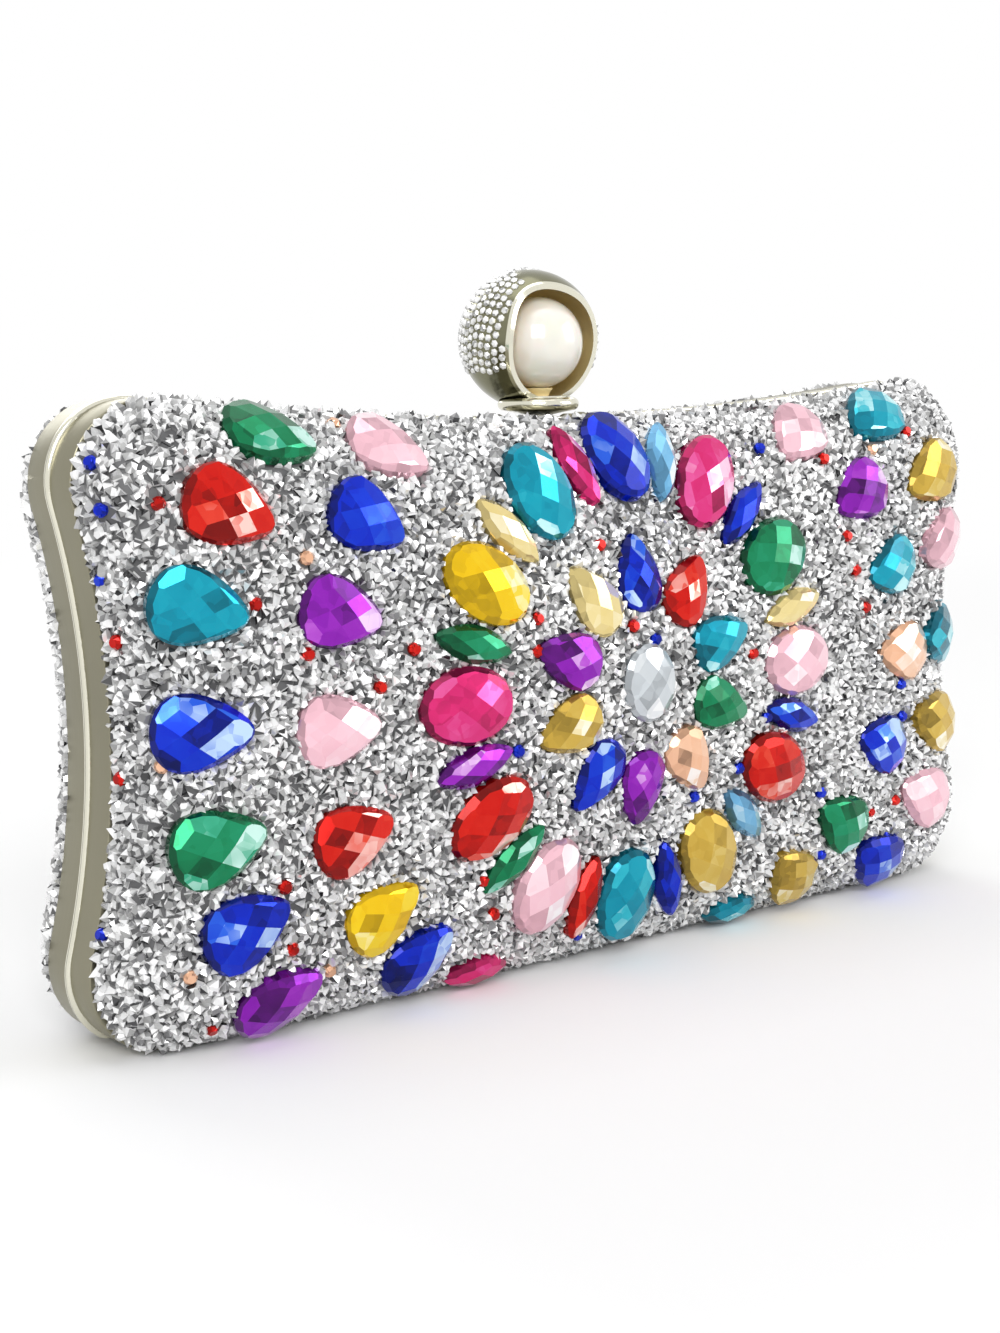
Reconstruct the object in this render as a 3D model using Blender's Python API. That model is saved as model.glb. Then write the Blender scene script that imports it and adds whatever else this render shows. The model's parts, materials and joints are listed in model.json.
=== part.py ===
"""Evening clutch: a hard case in two domed halves, hinged along its base, with a ball clasp on top.

Metres, +Z up. X runs along the case, the decorated front faces -Y, and the base stands at Z = 0.
Each half is a metal band, a moulded shell pressed into it, a sheet of crystals over the shell and a
fabric lining inside. The back half carries the clasp, and the front half swings down about the hinge.
"""

import math
import random

import bmesh
import bpy
from mathutils import Matrix, Vector
from mathutils.bvhtree import BVHTree
from mathutils.geometry import delaunay_2d_cdt, intersect_line_line_2d

# Case outline, seen from the front
CASE_WIDTH = 0.2000
CASE_HEIGHT = 0.1018
CORNER_RADIUS = 0.0130
SIDE_WAIST = 0.0050
TOP_DIP = 0.0050
INNER_CORNER_SHARE = 0.80
INNER_WAIST_SHARE = 0.70

# Domes: the shoulder rolls in from the outline and rises, then the crown closes the middle
SHOULDER_REACH = 0.0180
SHOULDER_RISE = 0.0133
CROWN_RISE = 0.0056
CROWN_POWER = 1.3

# Bands, shells, sheets and linings
FIT_GAP = 0.0003
BAND_DEPTH = 0.0069
BAND_WALL = 0.0016
FLANGE_REACH = 0.0030
FLANGE_THICK = 0.0012
BEAD_RISE = 0.0005
BEAD_WIDTH = 0.0016
SHELL_WALL = 0.0015
SHEET_THICK = 0.0012
LINING_THICK = 0.0008
LINING_SETBACK = 0.0006

# Hinge along the base
HINGE_HEIGHT = 0.0024
KNUCKLE_RADIUS = 0.0019
HINGE_PIN_RADIUS = 0.0008
HINGE_WIDTH = 0.0240
HINGE_SPREAD = 0.1100
KNUCKLE_SHARE = 0.38
LEAF_THICK = 0.0008
LEAF_REACH = 0.0060
OPENING_ANGLE = math.radians(80.0)
STOP_MARGIN = math.radians(1.0)

# Clasp lever, its bracket and its catch, all at the middle of the top
CLASP_SETBACK = 0.0038
CLASP_ANGLE = math.radians(7.0)
PIVOT_DROP = 0.0051
CLASP_PIN_RADIUS = 0.0006
HUB_RADIUS = 0.0016
HUB_WIDTH = 0.0036
STEM_RADIUS = 0.0015
PEG_RADIUS = 0.0010
ARM_WIDTH = 0.0030
ARM_THICK = 0.0014
ARM_REACH = 0.0072
NOSE_LENGTH = 0.0010
NOSE_DROP = 0.0009
LATCH_GRIP = 0.0006
CATCH_THICK = 0.0006
CATCH_WIDTH = 0.0050
BRACKET_THICK = 0.0009
BRACKET_LENGTH = 0.0230
BRACKET_WIDTH = 0.0042
EAR_GAP = 0.0086
EAR_THICK = 0.0010
EAR_WIDTH = 0.0034
RIVET_RADIUS = 0.0008
RIVET_HEAD_RADIUS = 0.0014
RIVET_HEAD_RISE = 0.0005
RIVET_EDGE = 0.0015
SPRING_WIRE_RADIUS = 0.00020
SPRING_COIL_RADIUS = 0.00115
SPRING_PITCH = 0.00048
SPRING_TURNS = 3
SPRING_LEG = 0.0022
SPRING_BACK_LEG = 0.0016

# Knob: foot, ball with its window, and the pearl inside it
FOOT_LIFT = 0.0005
FOOT_RADIUS = 0.0074
FOOT_HUB_RADIUS = 0.0024
FOOT_BEVEL = 0.0008
FOOT_EDGE = 0.0005
CUP_RADIUS = 0.0058
CUP_RISE = 0.0034
BALL_RADIUS = 0.0125
BALL_WALL = 0.0008
BALL_SETBACK = 0.0024
BALL_SEAT = 0.0010
WINDOW_OFFSET = 0.0070
WINDOW_TILT = math.radians(10.0)
PEARL_RADIUS = 0.0082
PEARL_DROP = 0.0006
PEARL_SEAT_RADIUS = 0.0026
PEG_BITE = 0.0035

# Stones: rings about the middle of the front, and arcs between the outer ring and the case's ends
INNER_COLOURS = ("blue", "red", "turquoise", "green", "peach", "purple", "blue", "gold", "purple", "gold")
OVAL_COLOURS = (
    "blue", "magenta", "green", "pink", "red", "gold",
    "turquoise", "pink", "red", "magenta", "yellow", "turquoise",
)
STONE_GAP = 0.0004
STONE_ROOT = 0.0015
STONE_GIRDLE = 0.0008
STONE_FLOOR = 0.0006
STONE_STEP = 0.0005
PATTERN_HEIGHT_SHARE = 0.505
INNER_RING_SHARE = 0.369
OUTER_RING_SHARE = 0.764
PATTERN_HEIGHT = CASE_HEIGHT * PATTERN_HEIGHT_SHARE
INNER_RING = CASE_HEIGHT / 2 * INNER_RING_SHARE
OUTER_RING = CASE_HEIGHT / 2 * OUTER_RING_SHARE
INNER_PITCH = math.tau * INNER_RING / len(INNER_COLOURS)
OUTER_PITCH = math.tau * OUTER_RING / len(OVAL_COLOURS)

# Length, width and height of each kind of stone, as shares of its ring's pitch
CENTRE_OVAL_SHARES = (1.17, 1.00, 0.30)
SMALL_PEAR_SHARES = (1.19, 0.78, 0.29)
BIG_OVAL_SHARES = (0.884, 0.648, 0.196)
NAVETTE_SHARES = (0.756, 0.314, 0.157)
BASE_NAVETTE_SHARES = (0.687, 0.363, 0.147)
CENTRE_OVAL = [INNER_PITCH * share for share in CENTRE_OVAL_SHARES]
SMALL_PEAR = [INNER_PITCH * share for share in SMALL_PEAR_SHARES]
BIG_OVAL = [OUTER_PITCH * share for share in BIG_OVAL_SHARES]
NAVETTE = [OUTER_PITCH * share for share in NAVETTE_SHARES]
BASE_NAVETTE = [OUTER_PITCH * share for share in BASE_NAVETTE_SHARES]

# The arcs' pears: lengths share the room beside the flower, and widths and heights share the rows' pitch
FLOWER_REACH = OUTER_RING + BIG_OVAL[0] / 2
ARC_ROOM = CASE_WIDTH / 2 - SIDE_WAIST - FLOWER_REACH
NEAR_ANGLES = (41.0, 28.0, 14.5, -0.5, -16.5, -31.0, -43.5)
FAR_ANGLES = (32.0, 22.5, 12.5, 0.0, -11.5, -21.5, -31.7)
ROW_PITCH = CASE_HEIGHT / len(NEAR_ANGLES)
PEAR_SHARES = (0.318, 0.757, 0.234)
FAR_PEAR_SHARES = (0.340, 0.798, 0.248)
PEAR = [ARC_ROOM * PEAR_SHARES[0], ROW_PITCH * PEAR_SHARES[1], ROW_PITCH * PEAR_SHARES[2]]
FAR_PEAR = [ARC_ROOM * FAR_PEAR_SHARES[0], ROW_PITCH * FAR_PEAR_SHARES[1], ROW_PITCH * FAR_PEAR_SHARES[2]]

# How far along from the flower to the case's edge each pear and base stone sits
NEAR_SHARES = (0.62, 0.30, 0.34, 0.35, 0.30, 0.31, 0.54)
FAR_SHARES = (0.75, 0.67, 0.78, 0.82, 0.76, 0.63, 0.72)
BASE_ANGLE = -57.0
BASE_SHARE = 0.65

# Shapes of the stones' outlines and crowns
CROWN_SHARES = ((1.0, 0.0), (0.66, 0.75))
SEAT_SHARES = (0.4, 0.7, 1.0)
NAVETTE_POINT_SHARE = 0.35
PEAR_TAPER_SHARE = 0.55

# The crystal sheets' relief: low pyramids in a hexagonal grid, and how deep the valleys between them are
RELIEF_DROP = 0.0005
RELIEF_PITCH = 0.0082
RELIEF_WANDER_SHARE = 0.16
VALLEY_SHARES = (0.6, 1.0)
RIM_CLEARANCE_SHARE = 0.7
RELIEF_SEED = 3
WELD_DISTANCE = 0.000001

# The case is centred on its own depth: the stones make the front deeper than the back
PARTING_Y = 0.5 * (BIG_OVAL[2] + STONE_GAP)

# How finely round shapes are cut
CORNER_STEPS = 5
SIDE_STEPS = 3
TOP_STEPS = 3
BASE_STEPS = 2
SHOULDER_STEPS = 4
CROWN_RINGS = 2
OUTLINE_STEPS = (SIDE_STEPS, CORNER_STEPS, TOP_STEPS, BASE_STEPS)
RELIEF_STEPS = (8, 4, 18, 18)
RELIEF_ROWS = 5
ROUND_STEPS = 20
PIN_STEPS = 10
STONE_STEPS = 8
WIRE_STEPS = 8
OVERRUN = 0.0040

# Heights and depths that several pieces share
PARTING_GAP = 0.5 * FIT_GAP
SHELL_INSET = BAND_WALL + FIT_GAP
SHEET_INSET = BAND_WALL - SHEET_THICK
SHEET_RIM = BAND_DEPTH + FIT_GAP
LINING_INSET = SHELL_INSET + SHELL_WALL + FIT_GAP
SKIRT_START = PARTING_GAP + FLANGE_THICK + FIT_GAP
LINING_START = SKIRT_START + LINING_SETBACK
BAND_TOP = CASE_HEIGHT - TOP_DIP
UNDER_TOP = BAND_TOP - BAND_WALL - FIT_GAP
PIVOT_HEIGHT = BAND_TOP - PIVOT_DROP
FOOT_BASE = BAND_TOP + FOOT_LIFT
BALL_HEIGHT = FOOT_BASE + BALL_RADIUS + BALL_SEAT
BALL_Y = CLASP_SETBACK + BALL_SETBACK
PEARL_HEIGHT = BALL_HEIGHT - PEARL_DROP
PEG_HOLE_RADIUS = PEG_RADIUS + FIT_GAP
RIVET_SPREAD = BRACKET_LENGTH - 2 * RIVET_EDGE
GROOVE_RADIUS = KNUCKLE_RADIUS + FIT_GAP

# Colour, roughness and metallic value of each material
SILVER = ((0.60, 0.58, 0.52), 0.32, 1.0)
BRIGHT_SILVER = ((0.72, 0.70, 0.62), 0.16, 1.0)
STEEL = ((0.55, 0.56, 0.57), 0.35, 1.0)
CASE_PLASTIC = ((0.30, 0.30, 0.31), 0.60, 0.0)
CRYSTAL = ((0.80, 0.81, 0.82), 0.15, 0.6)
SATIN = ((0.55, 0.54, 0.52), 0.55, 0.0)
PEARL = ((0.88, 0.84, 0.75), 0.12, 0.0)
STONE_ROUGHNESS = 0.08
STONE_COLOURS = {
    "blue": (0.005, 0.030, 0.550),
    "turquoise": (0.010, 0.400, 0.650),
    "green": (0.010, 0.300, 0.100),
    "red": (0.700, 0.010, 0.006),
    "purple": (0.230, 0.010, 0.420),
    "magenta": (0.700, 0.030, 0.180),
    "pink": (0.850, 0.380, 0.500),
    "peach": (0.850, 0.480, 0.320),
    "gold": (0.700, 0.440, 0.060),
    "yellow": (0.900, 0.600, 0.010),
    "clear": (0.780, 0.810, 0.830),
}


def arc(centre, radius, start, end, steps):
    """Points along an arc of the X-Z plane, with both its ends."""
    points = []
    for i in range(steps + 1):
        a = start + (end - start) * i / steps
        points.append((centre[0] + radius * math.cos(a), centre[1] + radius * math.sin(a)))
    return points


def direction(start, end):
    return math.atan2(end[1] - start[1], end[0] - start[0]) % math.tau


def outline(inset, steps=OUTLINE_STEPS):
    """The case's outline, drawn in by inset: four round corners, waisted sides, a dipped top, a flat base.

    steps says how finely half a side, a corner, half the top and half the base are cut."""
    side_steps, corner_steps, top_steps, base_steps = steps
    share = max(inset, 0.0) / SHOULDER_REACH
    radius = CORNER_RADIUS * (1 - (1 - INNER_CORNER_SHARE) * share)
    slack = 1 - (1 - INNER_WAIST_SHARE) * share
    waist, dip = SIDE_WAIST * slack, TOP_DIP * slack
    low, high = inset, CASE_HEIGHT - inset
    right, top = CASE_WIDTH / 2 - inset - radius, high - radius
    middle, half = (low + high) / 2, (high - low) / 2 - radius
    side_radius = (half**2 + (radius - waist) ** 2 - radius**2) / (2 * waist)
    top_radius = (right**2 + (radius - dip) ** 2 - radius**2) / (2 * dip)
    side = (CASE_WIDTH / 2 - inset - waist + side_radius, middle)
    above = (0.0, high - dip + top_radius)
    upper, lower = (right, top), (right, low + radius)
    side_up, side_down = direction(side, upper), direction(side, lower)
    top_angle = direction(above, upper)

    high_quarter = arc(side, side_radius, math.pi, side_up, side_steps)
    high_quarter += arc(upper, radius, side_up - math.pi, top_angle - math.pi, corner_steps)[1:]
    high_quarter += arc(above, top_radius, top_angle, 1.5 * math.pi, top_steps)[1:]
    low_quarter = arc(side, side_radius, math.pi, side_down, side_steps)
    low_quarter += arc(lower, radius, side_down - math.pi, -math.pi / 2, corner_steps)[1:]
    low_quarter += [(right * (1 - i / base_steps), low) for i in range(1, base_steps + 1)]
    left_high = [(-x, z) for x, z in reversed(high_quarter[:-1])]
    left_low = [(-x, z) for x, z in low_quarter[1:]]
    return high_quarter + left_high + left_low + low_quarter[-2:0:-1]


def crown_height(depth, share):
    """Height of a dome's middle part at a share of the way from its middle to its shoulder."""
    return SHOULDER_RISE - depth + CROWN_RISE * (1 - share * share) ** CROWN_POWER


def shoulder_levels(depth, start, rows, steps):
    """Outline and height of each level of a dome's shoulder, from its rim up."""
    reach, rise = SHOULDER_REACH - depth, SHOULDER_RISE - depth
    levels = [(outline(depth, steps), start)]
    for i in range(1, rows + 1):
        a = math.pi / 2 * i / rows
        levels.append((outline(SHOULDER_REACH - reach * math.cos(a), steps), rise * math.sin(a)))
    return levels


def dome_levels(depth, start):
    """Outline and height of each level of a dome that lies depth inside the case's outer surface.

    The height is counted from the band's outer edge, and start is the height of the dome's rim."""
    levels = shoulder_levels(depth, start, SHOULDER_STEPS, OUTLINE_STEPS)
    shoulder = levels[-1][0]
    middle = CASE_HEIGHT / 2
    for i in range(1, CROWN_RINGS + 1):
        s = 1 - i / (CROWN_RINGS + 1)
        ring = [(x * s, middle + (z - middle) * s) for x, z in shoulder]
        levels.append((ring, crown_height(depth, s)))
    levels.append(([(0.0, middle)], crown_height(depth, 0.0)))
    return levels


def placed(ring, y):
    return [Vector((x, y, z)) for x, z in ring]


def circle(centre, radius, steps, axis="Z", phase=0.0):
    """A ring of points about an axis, counter-clockwise seen from the axis's far end."""
    first, second = {"X": ("y", "z"), "Y": ("z", "x"), "Z": ("x", "y")}[axis]
    ring = []
    for i in range(steps):
        a = phase + math.tau * i / steps
        point = Vector(centre)
        setattr(point, first, getattr(point, first) + radius * math.cos(a))
        setattr(point, second, getattr(point, second) + radius * math.sin(a))
        ring.append(point)
    return ring


def bridge(bm, first, second):
    """Faces between two closed loops of vertices, or between a loop and one point."""
    if len(first) == len(second) == 1:
        return
    if len(first) == 1:
        first, second = second, first
    count = len(first)
    for i in range(count):
        j = (i + 1) % count
        if len(second) == 1:
            bm.faces.new((first[i], first[j], second[0]))
        else:
            bm.faces.new((first[i], first[j], second[j], second[i]))


def loft(bm, loops, ring=False):
    """Skins a list of loops into bm. With ring, the last loop joins the first, or else the ends are capped."""
    verts = [[bm.verts.new(point) for point in loop] for loop in loops]
    for first, second in zip(verts, verts[1:]):
        bridge(bm, first, second)
    if ring:
        bridge(bm, verts[-1], verts[0])
    else:
        for end in (verts[0], verts[-1]):
            if len(end) > 2:
                bm.faces.new(end)
    return [vert for loop in verts for vert in loop]


def box(bm, low, high):
    """An upright box between two corners."""
    corners = [(low[0], low[1]), (high[0], low[1]), (high[0], high[1]), (low[0], high[1])]
    loft(bm, [[Vector((x, y, z)) for x, y in corners] for z in (low[2], high[2])])


def cylinder(bm, start, end, radius, steps, axis):
    """A round bar between two points of one axis."""
    loft(bm, [circle(start, radius, steps, axis), circle(end, radius, steps, axis)])


def turned(bm, profile, centre, steps, axis="Z"):
    """A turned solid: profile holds (radius, distance along the axis), and a radius of zero is a pole."""
    along = {"X": Vector((1, 0, 0)), "Y": Vector((0, 1, 0)), "Z": Vector((0, 0, 1))}[axis]
    loops = []
    for radius, distance in profile:
        point = Vector(centre) + along * distance
        loops.append(circle(point, radius, steps, axis) if radius > 0 else [point])
    loft(bm, loops)


def material(name, look):
    """One Principled material for each name."""
    found = bpy.data.materials.get(name)
    if found:
        return found
    colour, roughness, metallic = look
    made = bpy.data.materials.new(name)
    made.use_nodes = True
    shader = made.node_tree.nodes["Principled BSDF"]
    shader.inputs["Base Color"].default_value = (*colour, 1.0)
    shader.inputs["Roughness"].default_value = roughness
    shader.inputs["Metallic"].default_value = metallic
    return made


def axis_empty(name, location, parent=None):
    empty = bpy.data.objects.new(name, None)
    bpy.context.scene.collection.objects.link(empty)
    empty.parent = parent
    empty.location = location
    return empty


def piece(name, bm, body, finish=None, smooth=0.0):
    """Turns bm into an object whose origin lies on its body's axis. Without a finish it is a cutter."""
    pivot = BODY_PIVOTS[body]
    bmesh.ops.recalc_face_normals(bm, faces=bm.faces)
    bmesh.ops.translate(bm, verts=bm.verts, vec=-pivot)
    mesh = bpy.data.meshes.new(name)
    bm.to_mesh(mesh)
    bm.free()
    if smooth:
        mesh.shade_smooth()
        mesh.set_sharp_from_angle(angle=smooth)
    made = bpy.data.objects.new(name, mesh)
    bpy.context.scene.collection.objects.link(made)
    made.parent = BODIES[body]
    if finish:
        made.data.materials.append(material(*finish))
    else:
        made.hide_render = True
        made.display_type = "WIRE"
    return made


def boolean(target, cutter, operation="DIFFERENCE", crossing=False):
    """One Boolean step on target. crossing says that the cutter's own shapes run through each other."""
    step = target.modifiers.new(cutter.name, "BOOLEAN")
    step.operation = operation
    step.object = cutter
    step.solver = "EXACT"
    step.use_self = crossing


def side_of(body):
    """-1 for the front half, which lies at -Y, and 1 for the back half."""
    return -1 if body == "front_half" else 1


def ring_distance(middle, way, ring):
    """From a point inside a closed ring to where it ends in one direction."""
    far = middle + way * CASE_WIDTH
    ring = [Vector(point) for point in ring]
    crossings = (
        intersect_line_line_2d(middle, far, start, end) for start, end in zip(ring, ring[1:] + ring[:1])
    )
    return max((crossing - middle).length for crossing in crossings if crossing)


def dome_skin(body, depth, start, rim):
    """Loops of a dome's surface, from the edge of its skirt to its middle.

    start is where the skirt begins, counted from the parting plane, and rim is where the dome begins."""
    side = side_of(body)
    levels = dome_levels(depth, rim - BAND_DEPTH)
    skin = [placed(ring, side * (BAND_DEPTH + height)) for ring, height in levels]
    if start < rim:
        skin.insert(0, placed(outline(depth), side * start))
    return skin


def dome_shell(name, body, outer, inner, start, rim, finish):
    """A domed wall between two depths, open towards the parting plane."""
    loops = dome_skin(body, outer, start, rim) + dome_skin(body, inner, start, rim)[::-1]
    bm = bmesh.new()
    loft(bm, loops, ring=True)
    return piece(name, bm, body, finish, math.radians(40))


def dome_block(name, body, depth, start, rim, finish=None):
    """A filled dome with a flat back."""
    bm = bmesh.new()
    loft(bm, dome_skin(body, depth, start, rim))
    return piece(name, bm, body, finish, math.radians(40))


def band(name, body):
    """One half of the metal frame: a wall with an inward flange and a bead along the parting edge."""
    side = side_of(body)
    near, far = PARTING_GAP, BAND_DEPTH
    flange = near + FLANGE_THICK
    bevel = BEAD_RISE / 2
    section = (
        (-BEAD_RISE, near),
        (-BEAD_RISE, near + BEAD_WIDTH / 2),
        (0.0, near + BEAD_WIDTH),
        (0.0, far - bevel),
        (bevel, far),
        (BAND_WALL, far),
        (BAND_WALL, flange),
        (FLANGE_REACH, flange),
        (FLANGE_REACH, near),
    )
    bm = bmesh.new()
    loft(bm, [placed(outline(inset), side * y) for inset, y in section], ring=True)
    return piece(name, bm, body, ("satin_silver", SILVER), math.radians(35))


def hinge_relief(name, body):
    """The wedge below the hinge axis that lets the bands swing, and that stops them at full opening."""
    half = OPENING_ANGLE / 2 + STOP_MARGIN
    drop = HINGE_HEIGHT + OVERRUN
    reach = drop * math.tan(half)
    bm = bmesh.new()
    section = ((0.0, HINGE_HEIGHT + PARTING_GAP), (-reach, -OVERRUN), (reach, -OVERRUN))
    ends = (-CASE_WIDTH / 2 - OVERRUN, CASE_WIDTH / 2 + OVERRUN)
    loft(bm, [[Vector((x, y, z)) for y, z in section] for x in ends])
    return piece(name, bm, body)


def hinge_places():
    return (-HINGE_SPREAD / 2, HINGE_SPREAD / 2)


def hinge_grooves(name, body):
    """Round grooves in the bands that the knuckles sit in."""
    half = HINGE_WIDTH / 2 + FIT_GAP
    bm = bmesh.new()
    for x in hinge_places():
        ends = [(x + s * half, 0.0, HINGE_HEIGHT) for s in (-1, 1)]
        cylinder(bm, ends[0], ends[1], GROOVE_RADIUS, ROUND_STEPS, "X")
    return piece(name, bm, body)


def leaf_notches(name, body):
    """Room for the hinge leaves where they lie between band and shell."""
    side = side_of(body)
    half = HINGE_WIDTH / 2 + FIT_GAP
    top = SHELL_INSET + SHELL_WALL + FIT_GAP / 2
    near, far = sorted((0.0, side * (LEAF_REACH + FIT_GAP)))
    bm = bmesh.new()
    for x in hinge_places():
        box(bm, (x - half, near, -OVERRUN), (x + half, far, top))
    return piece(name, bm, body)


def knuckle_ranges(body):
    """Where each half's knuckles lie along a hinge, from its middle: the front has the middle one."""
    half = HINGE_WIDTH / 2
    middle = KNUCKLE_SHARE * half
    if body == "front_half":
        return ((-middle + FIT_GAP / 2, middle - FIT_GAP / 2),)
    return ((-half, -middle - FIT_GAP / 2), (middle + FIT_GAP / 2, half))


def hinge_leaf(name, body, x):
    """One leaf: a plate on the band's floor with tongues rolled into knuckles."""
    side = side_of(body)
    floor = BAND_WALL + FIT_GAP
    roof = floor + LEAF_THICK
    clear = GROOVE_RADIUS + FIT_GAP / 2
    near, far = sorted((side * clear, side * LEAF_REACH))
    root = sorted((side * (HINGE_PIN_RADIUS + FIT_GAP), side * (clear + LEAF_THICK)))
    plate, knuckles, tongues, bore = (bmesh.new() for _ in range(4))
    box(plate, (x - HINGE_WIDTH / 2, near, floor), (x + HINGE_WIDTH / 2, far, roof))
    for start, end in knuckle_ranges(body):
        ends = [(x + start, 0.0, HINGE_HEIGHT), (x + end, 0.0, HINGE_HEIGHT)]
        cylinder(knuckles, ends[0], ends[1], KNUCKLE_RADIUS, ROUND_STEPS, "X")
        box(tongues, (x + start, root[0], floor), (x + end, root[1], roof))
    ends = [(x + s * (HINGE_WIDTH / 2 + OVERRUN), 0.0, HINGE_HEIGHT) for s in (-1, 1)]
    cylinder(bore, ends[0], ends[1], HINGE_PIN_RADIUS + FIT_GAP / 2, PIN_STEPS, "X")
    made = piece(name, plate, body, ("steel", STEEL))
    boolean(made, piece(name + "_tongues", tongues, body), "UNION")
    boolean(made, piece(name + "_knuckles", knuckles, body), "UNION")
    boolean(made, piece(name + "_bore", bore, body))


def hinge_pin(name, x):
    ends = [(x + s * HINGE_WIDTH / 2, 0.0, HINGE_HEIGHT) for s in (-1, 1)]
    bm = bmesh.new()
    cylinder(bm, ends[0], ends[1], HINGE_PIN_RADIUS, PIN_STEPS, "X")
    piece(name, bm, "back_half", ("steel", STEEL), math.radians(40))


def hinge(word, x):
    """A leaf on each half and the pin through their knuckles."""
    hinge_leaf("back_hinge_leaf_" + word, "back_half", x)
    hinge_leaf("front_hinge_leaf_" + word, "front_half", x)
    hinge_pin("hinge_pin_" + word, x)


def clasp_notch(name, body, half_width):
    """Room for the clasp in the skirt of a shell or lining."""
    side = side_of(body)
    near, far = sorted((0.0, side * (BAND_DEPTH + FIT_GAP / 2)))
    low = PIVOT_HEIGHT - HUB_RADIUS - OVERRUN
    bm = bmesh.new()
    box(bm, (-half_width, near, low), (half_width, far, CASE_HEIGHT))
    return piece(name, bm, body)


def bead_flat(name, body):
    """Takes the bead off under the knob's foot."""
    side = side_of(body)
    near, far = sorted((-side * OVERRUN, side * BAND_DEPTH / 2))
    half = FOOT_RADIUS + 2 * FIT_GAP
    bm = bmesh.new()
    box(bm, (-half, near, BAND_TOP + FIT_GAP / 4), (half, far, CASE_HEIGHT + OVERRUN))
    return piece(name, bm, body)


def stem_slot(name):
    """The slot that the stem tilts in, through the band's top and the bracket."""
    travel = (PIVOT_DROP + FIT_GAP) * math.sin(CLASP_ANGLE)
    half = STEM_RADIUS + FIT_GAP
    low = (-half, CLASP_SETBACK - half, PIVOT_HEIGHT + HUB_RADIUS)
    high = (half, CLASP_SETBACK + half + travel, CASE_HEIGHT)
    bm = bmesh.new()
    box(bm, low, high)
    return piece(name, bm, "back_half")


def rivet_places(body):
    if body == "front_half":
        return ((0.0, -catch_depths()[0] + CATCH_THICK + RIVET_HEAD_RADIUS + FIT_GAP),)
    return tuple((s * RIVET_SPREAD / 2, CLASP_SETBACK) for s in (-1, 1))


def rivet_grips(body):
    """Lower and upper face that a rivet clamps together."""
    plate = CATCH_THICK if body == "front_half" else BRACKET_THICK
    return UNDER_TOP - plate, BAND_TOP


def rivet_holes(name, body):
    low, high = rivet_grips(body)
    bm = bmesh.new()
    for x, y in rivet_places(body):
        ends = ((x, y, low - OVERRUN / 4), (x, y, high + OVERRUN))
        cylinder(bm, ends[0], ends[1], RIVET_RADIUS + FIT_GAP / 2, PIN_STEPS, "Z")
    return piece(name, bm, body)


def rivet(name, body, place):
    """A round-headed rivet through the band's top and the plate under it."""
    low, high = rivet_grips(body)
    low -= FIT_GAP
    high += FIT_GAP
    profile = (
        (RIVET_RADIUS, low - RIVET_HEAD_RISE),
        (RIVET_HEAD_RADIUS, low - RIVET_HEAD_RISE / 2),
        (RIVET_HEAD_RADIUS, low),
        (RIVET_RADIUS, low),
        (RIVET_RADIUS, high),
        (RIVET_HEAD_RADIUS, high),
        (RIVET_HEAD_RADIUS, high + RIVET_HEAD_RISE / 3),
        (RIVET_RADIUS, high + RIVET_HEAD_RISE),
    )
    bm = bmesh.new()
    turned(bm, profile, (*place, 0.0), PIN_STEPS)
    piece(name, bm, body, ("satin_silver", SILVER), math.radians(40))


def clasp_bracket():
    """A plate under the band's top with two ears that hold the clasp's pin."""
    top, plate = UNDER_TOP, UNDER_TOP - BRACKET_THICK
    near = CLASP_SETBACK - BRACKET_WIDTH / 2
    bm, ears, bore = bmesh.new(), bmesh.new(), bmesh.new()
    box(bm, (-BRACKET_LENGTH / 2, near, plate), (BRACKET_LENGTH / 2, near + BRACKET_WIDTH, top))
    low = PIVOT_HEIGHT - HUB_RADIUS
    for s in (-1, 1):
        x0, x1 = sorted((s * EAR_GAP / 2, s * (EAR_GAP / 2 + EAR_THICK)))
        start = (x0, CLASP_SETBACK - EAR_WIDTH / 2, low)
        box(ears, start, (x1, CLASP_SETBACK + EAR_WIDTH / 2, top - BRACKET_THICK / 2))
    half = EAR_GAP / 2 + EAR_THICK + OVERRUN
    ends = [(s * half, CLASP_SETBACK, PIVOT_HEIGHT) for s in (-1, 1)]
    cylinder(bore, ends[0], ends[1], CLASP_PIN_RADIUS + FIT_GAP / 2, PIN_STEPS, "X")
    made = piece("clasp_bracket", bm, "back_half", ("steel", STEEL))
    boolean(made, piece("bracket_ears", ears, "back_half"), "UNION")
    boolean(made, piece("bracket_bore", bore, "back_half"))
    boolean(made, stem_slot("bracket_slot"))
    boolean(made, rivet_holes("bracket_rivet_holes", "back_half"))
    return made


def clasp_pin():
    half = EAR_GAP / 2 + EAR_THICK
    ends = [(s * half, CLASP_SETBACK, PIVOT_HEIGHT) for s in (-1, 1)]
    bm = bmesh.new()
    cylinder(bm, ends[0], ends[1], CLASP_PIN_RADIUS, PIN_STEPS, "X")
    return piece("clasp_pin", bm, "back_half", ("steel", STEEL), math.radians(40))


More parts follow.
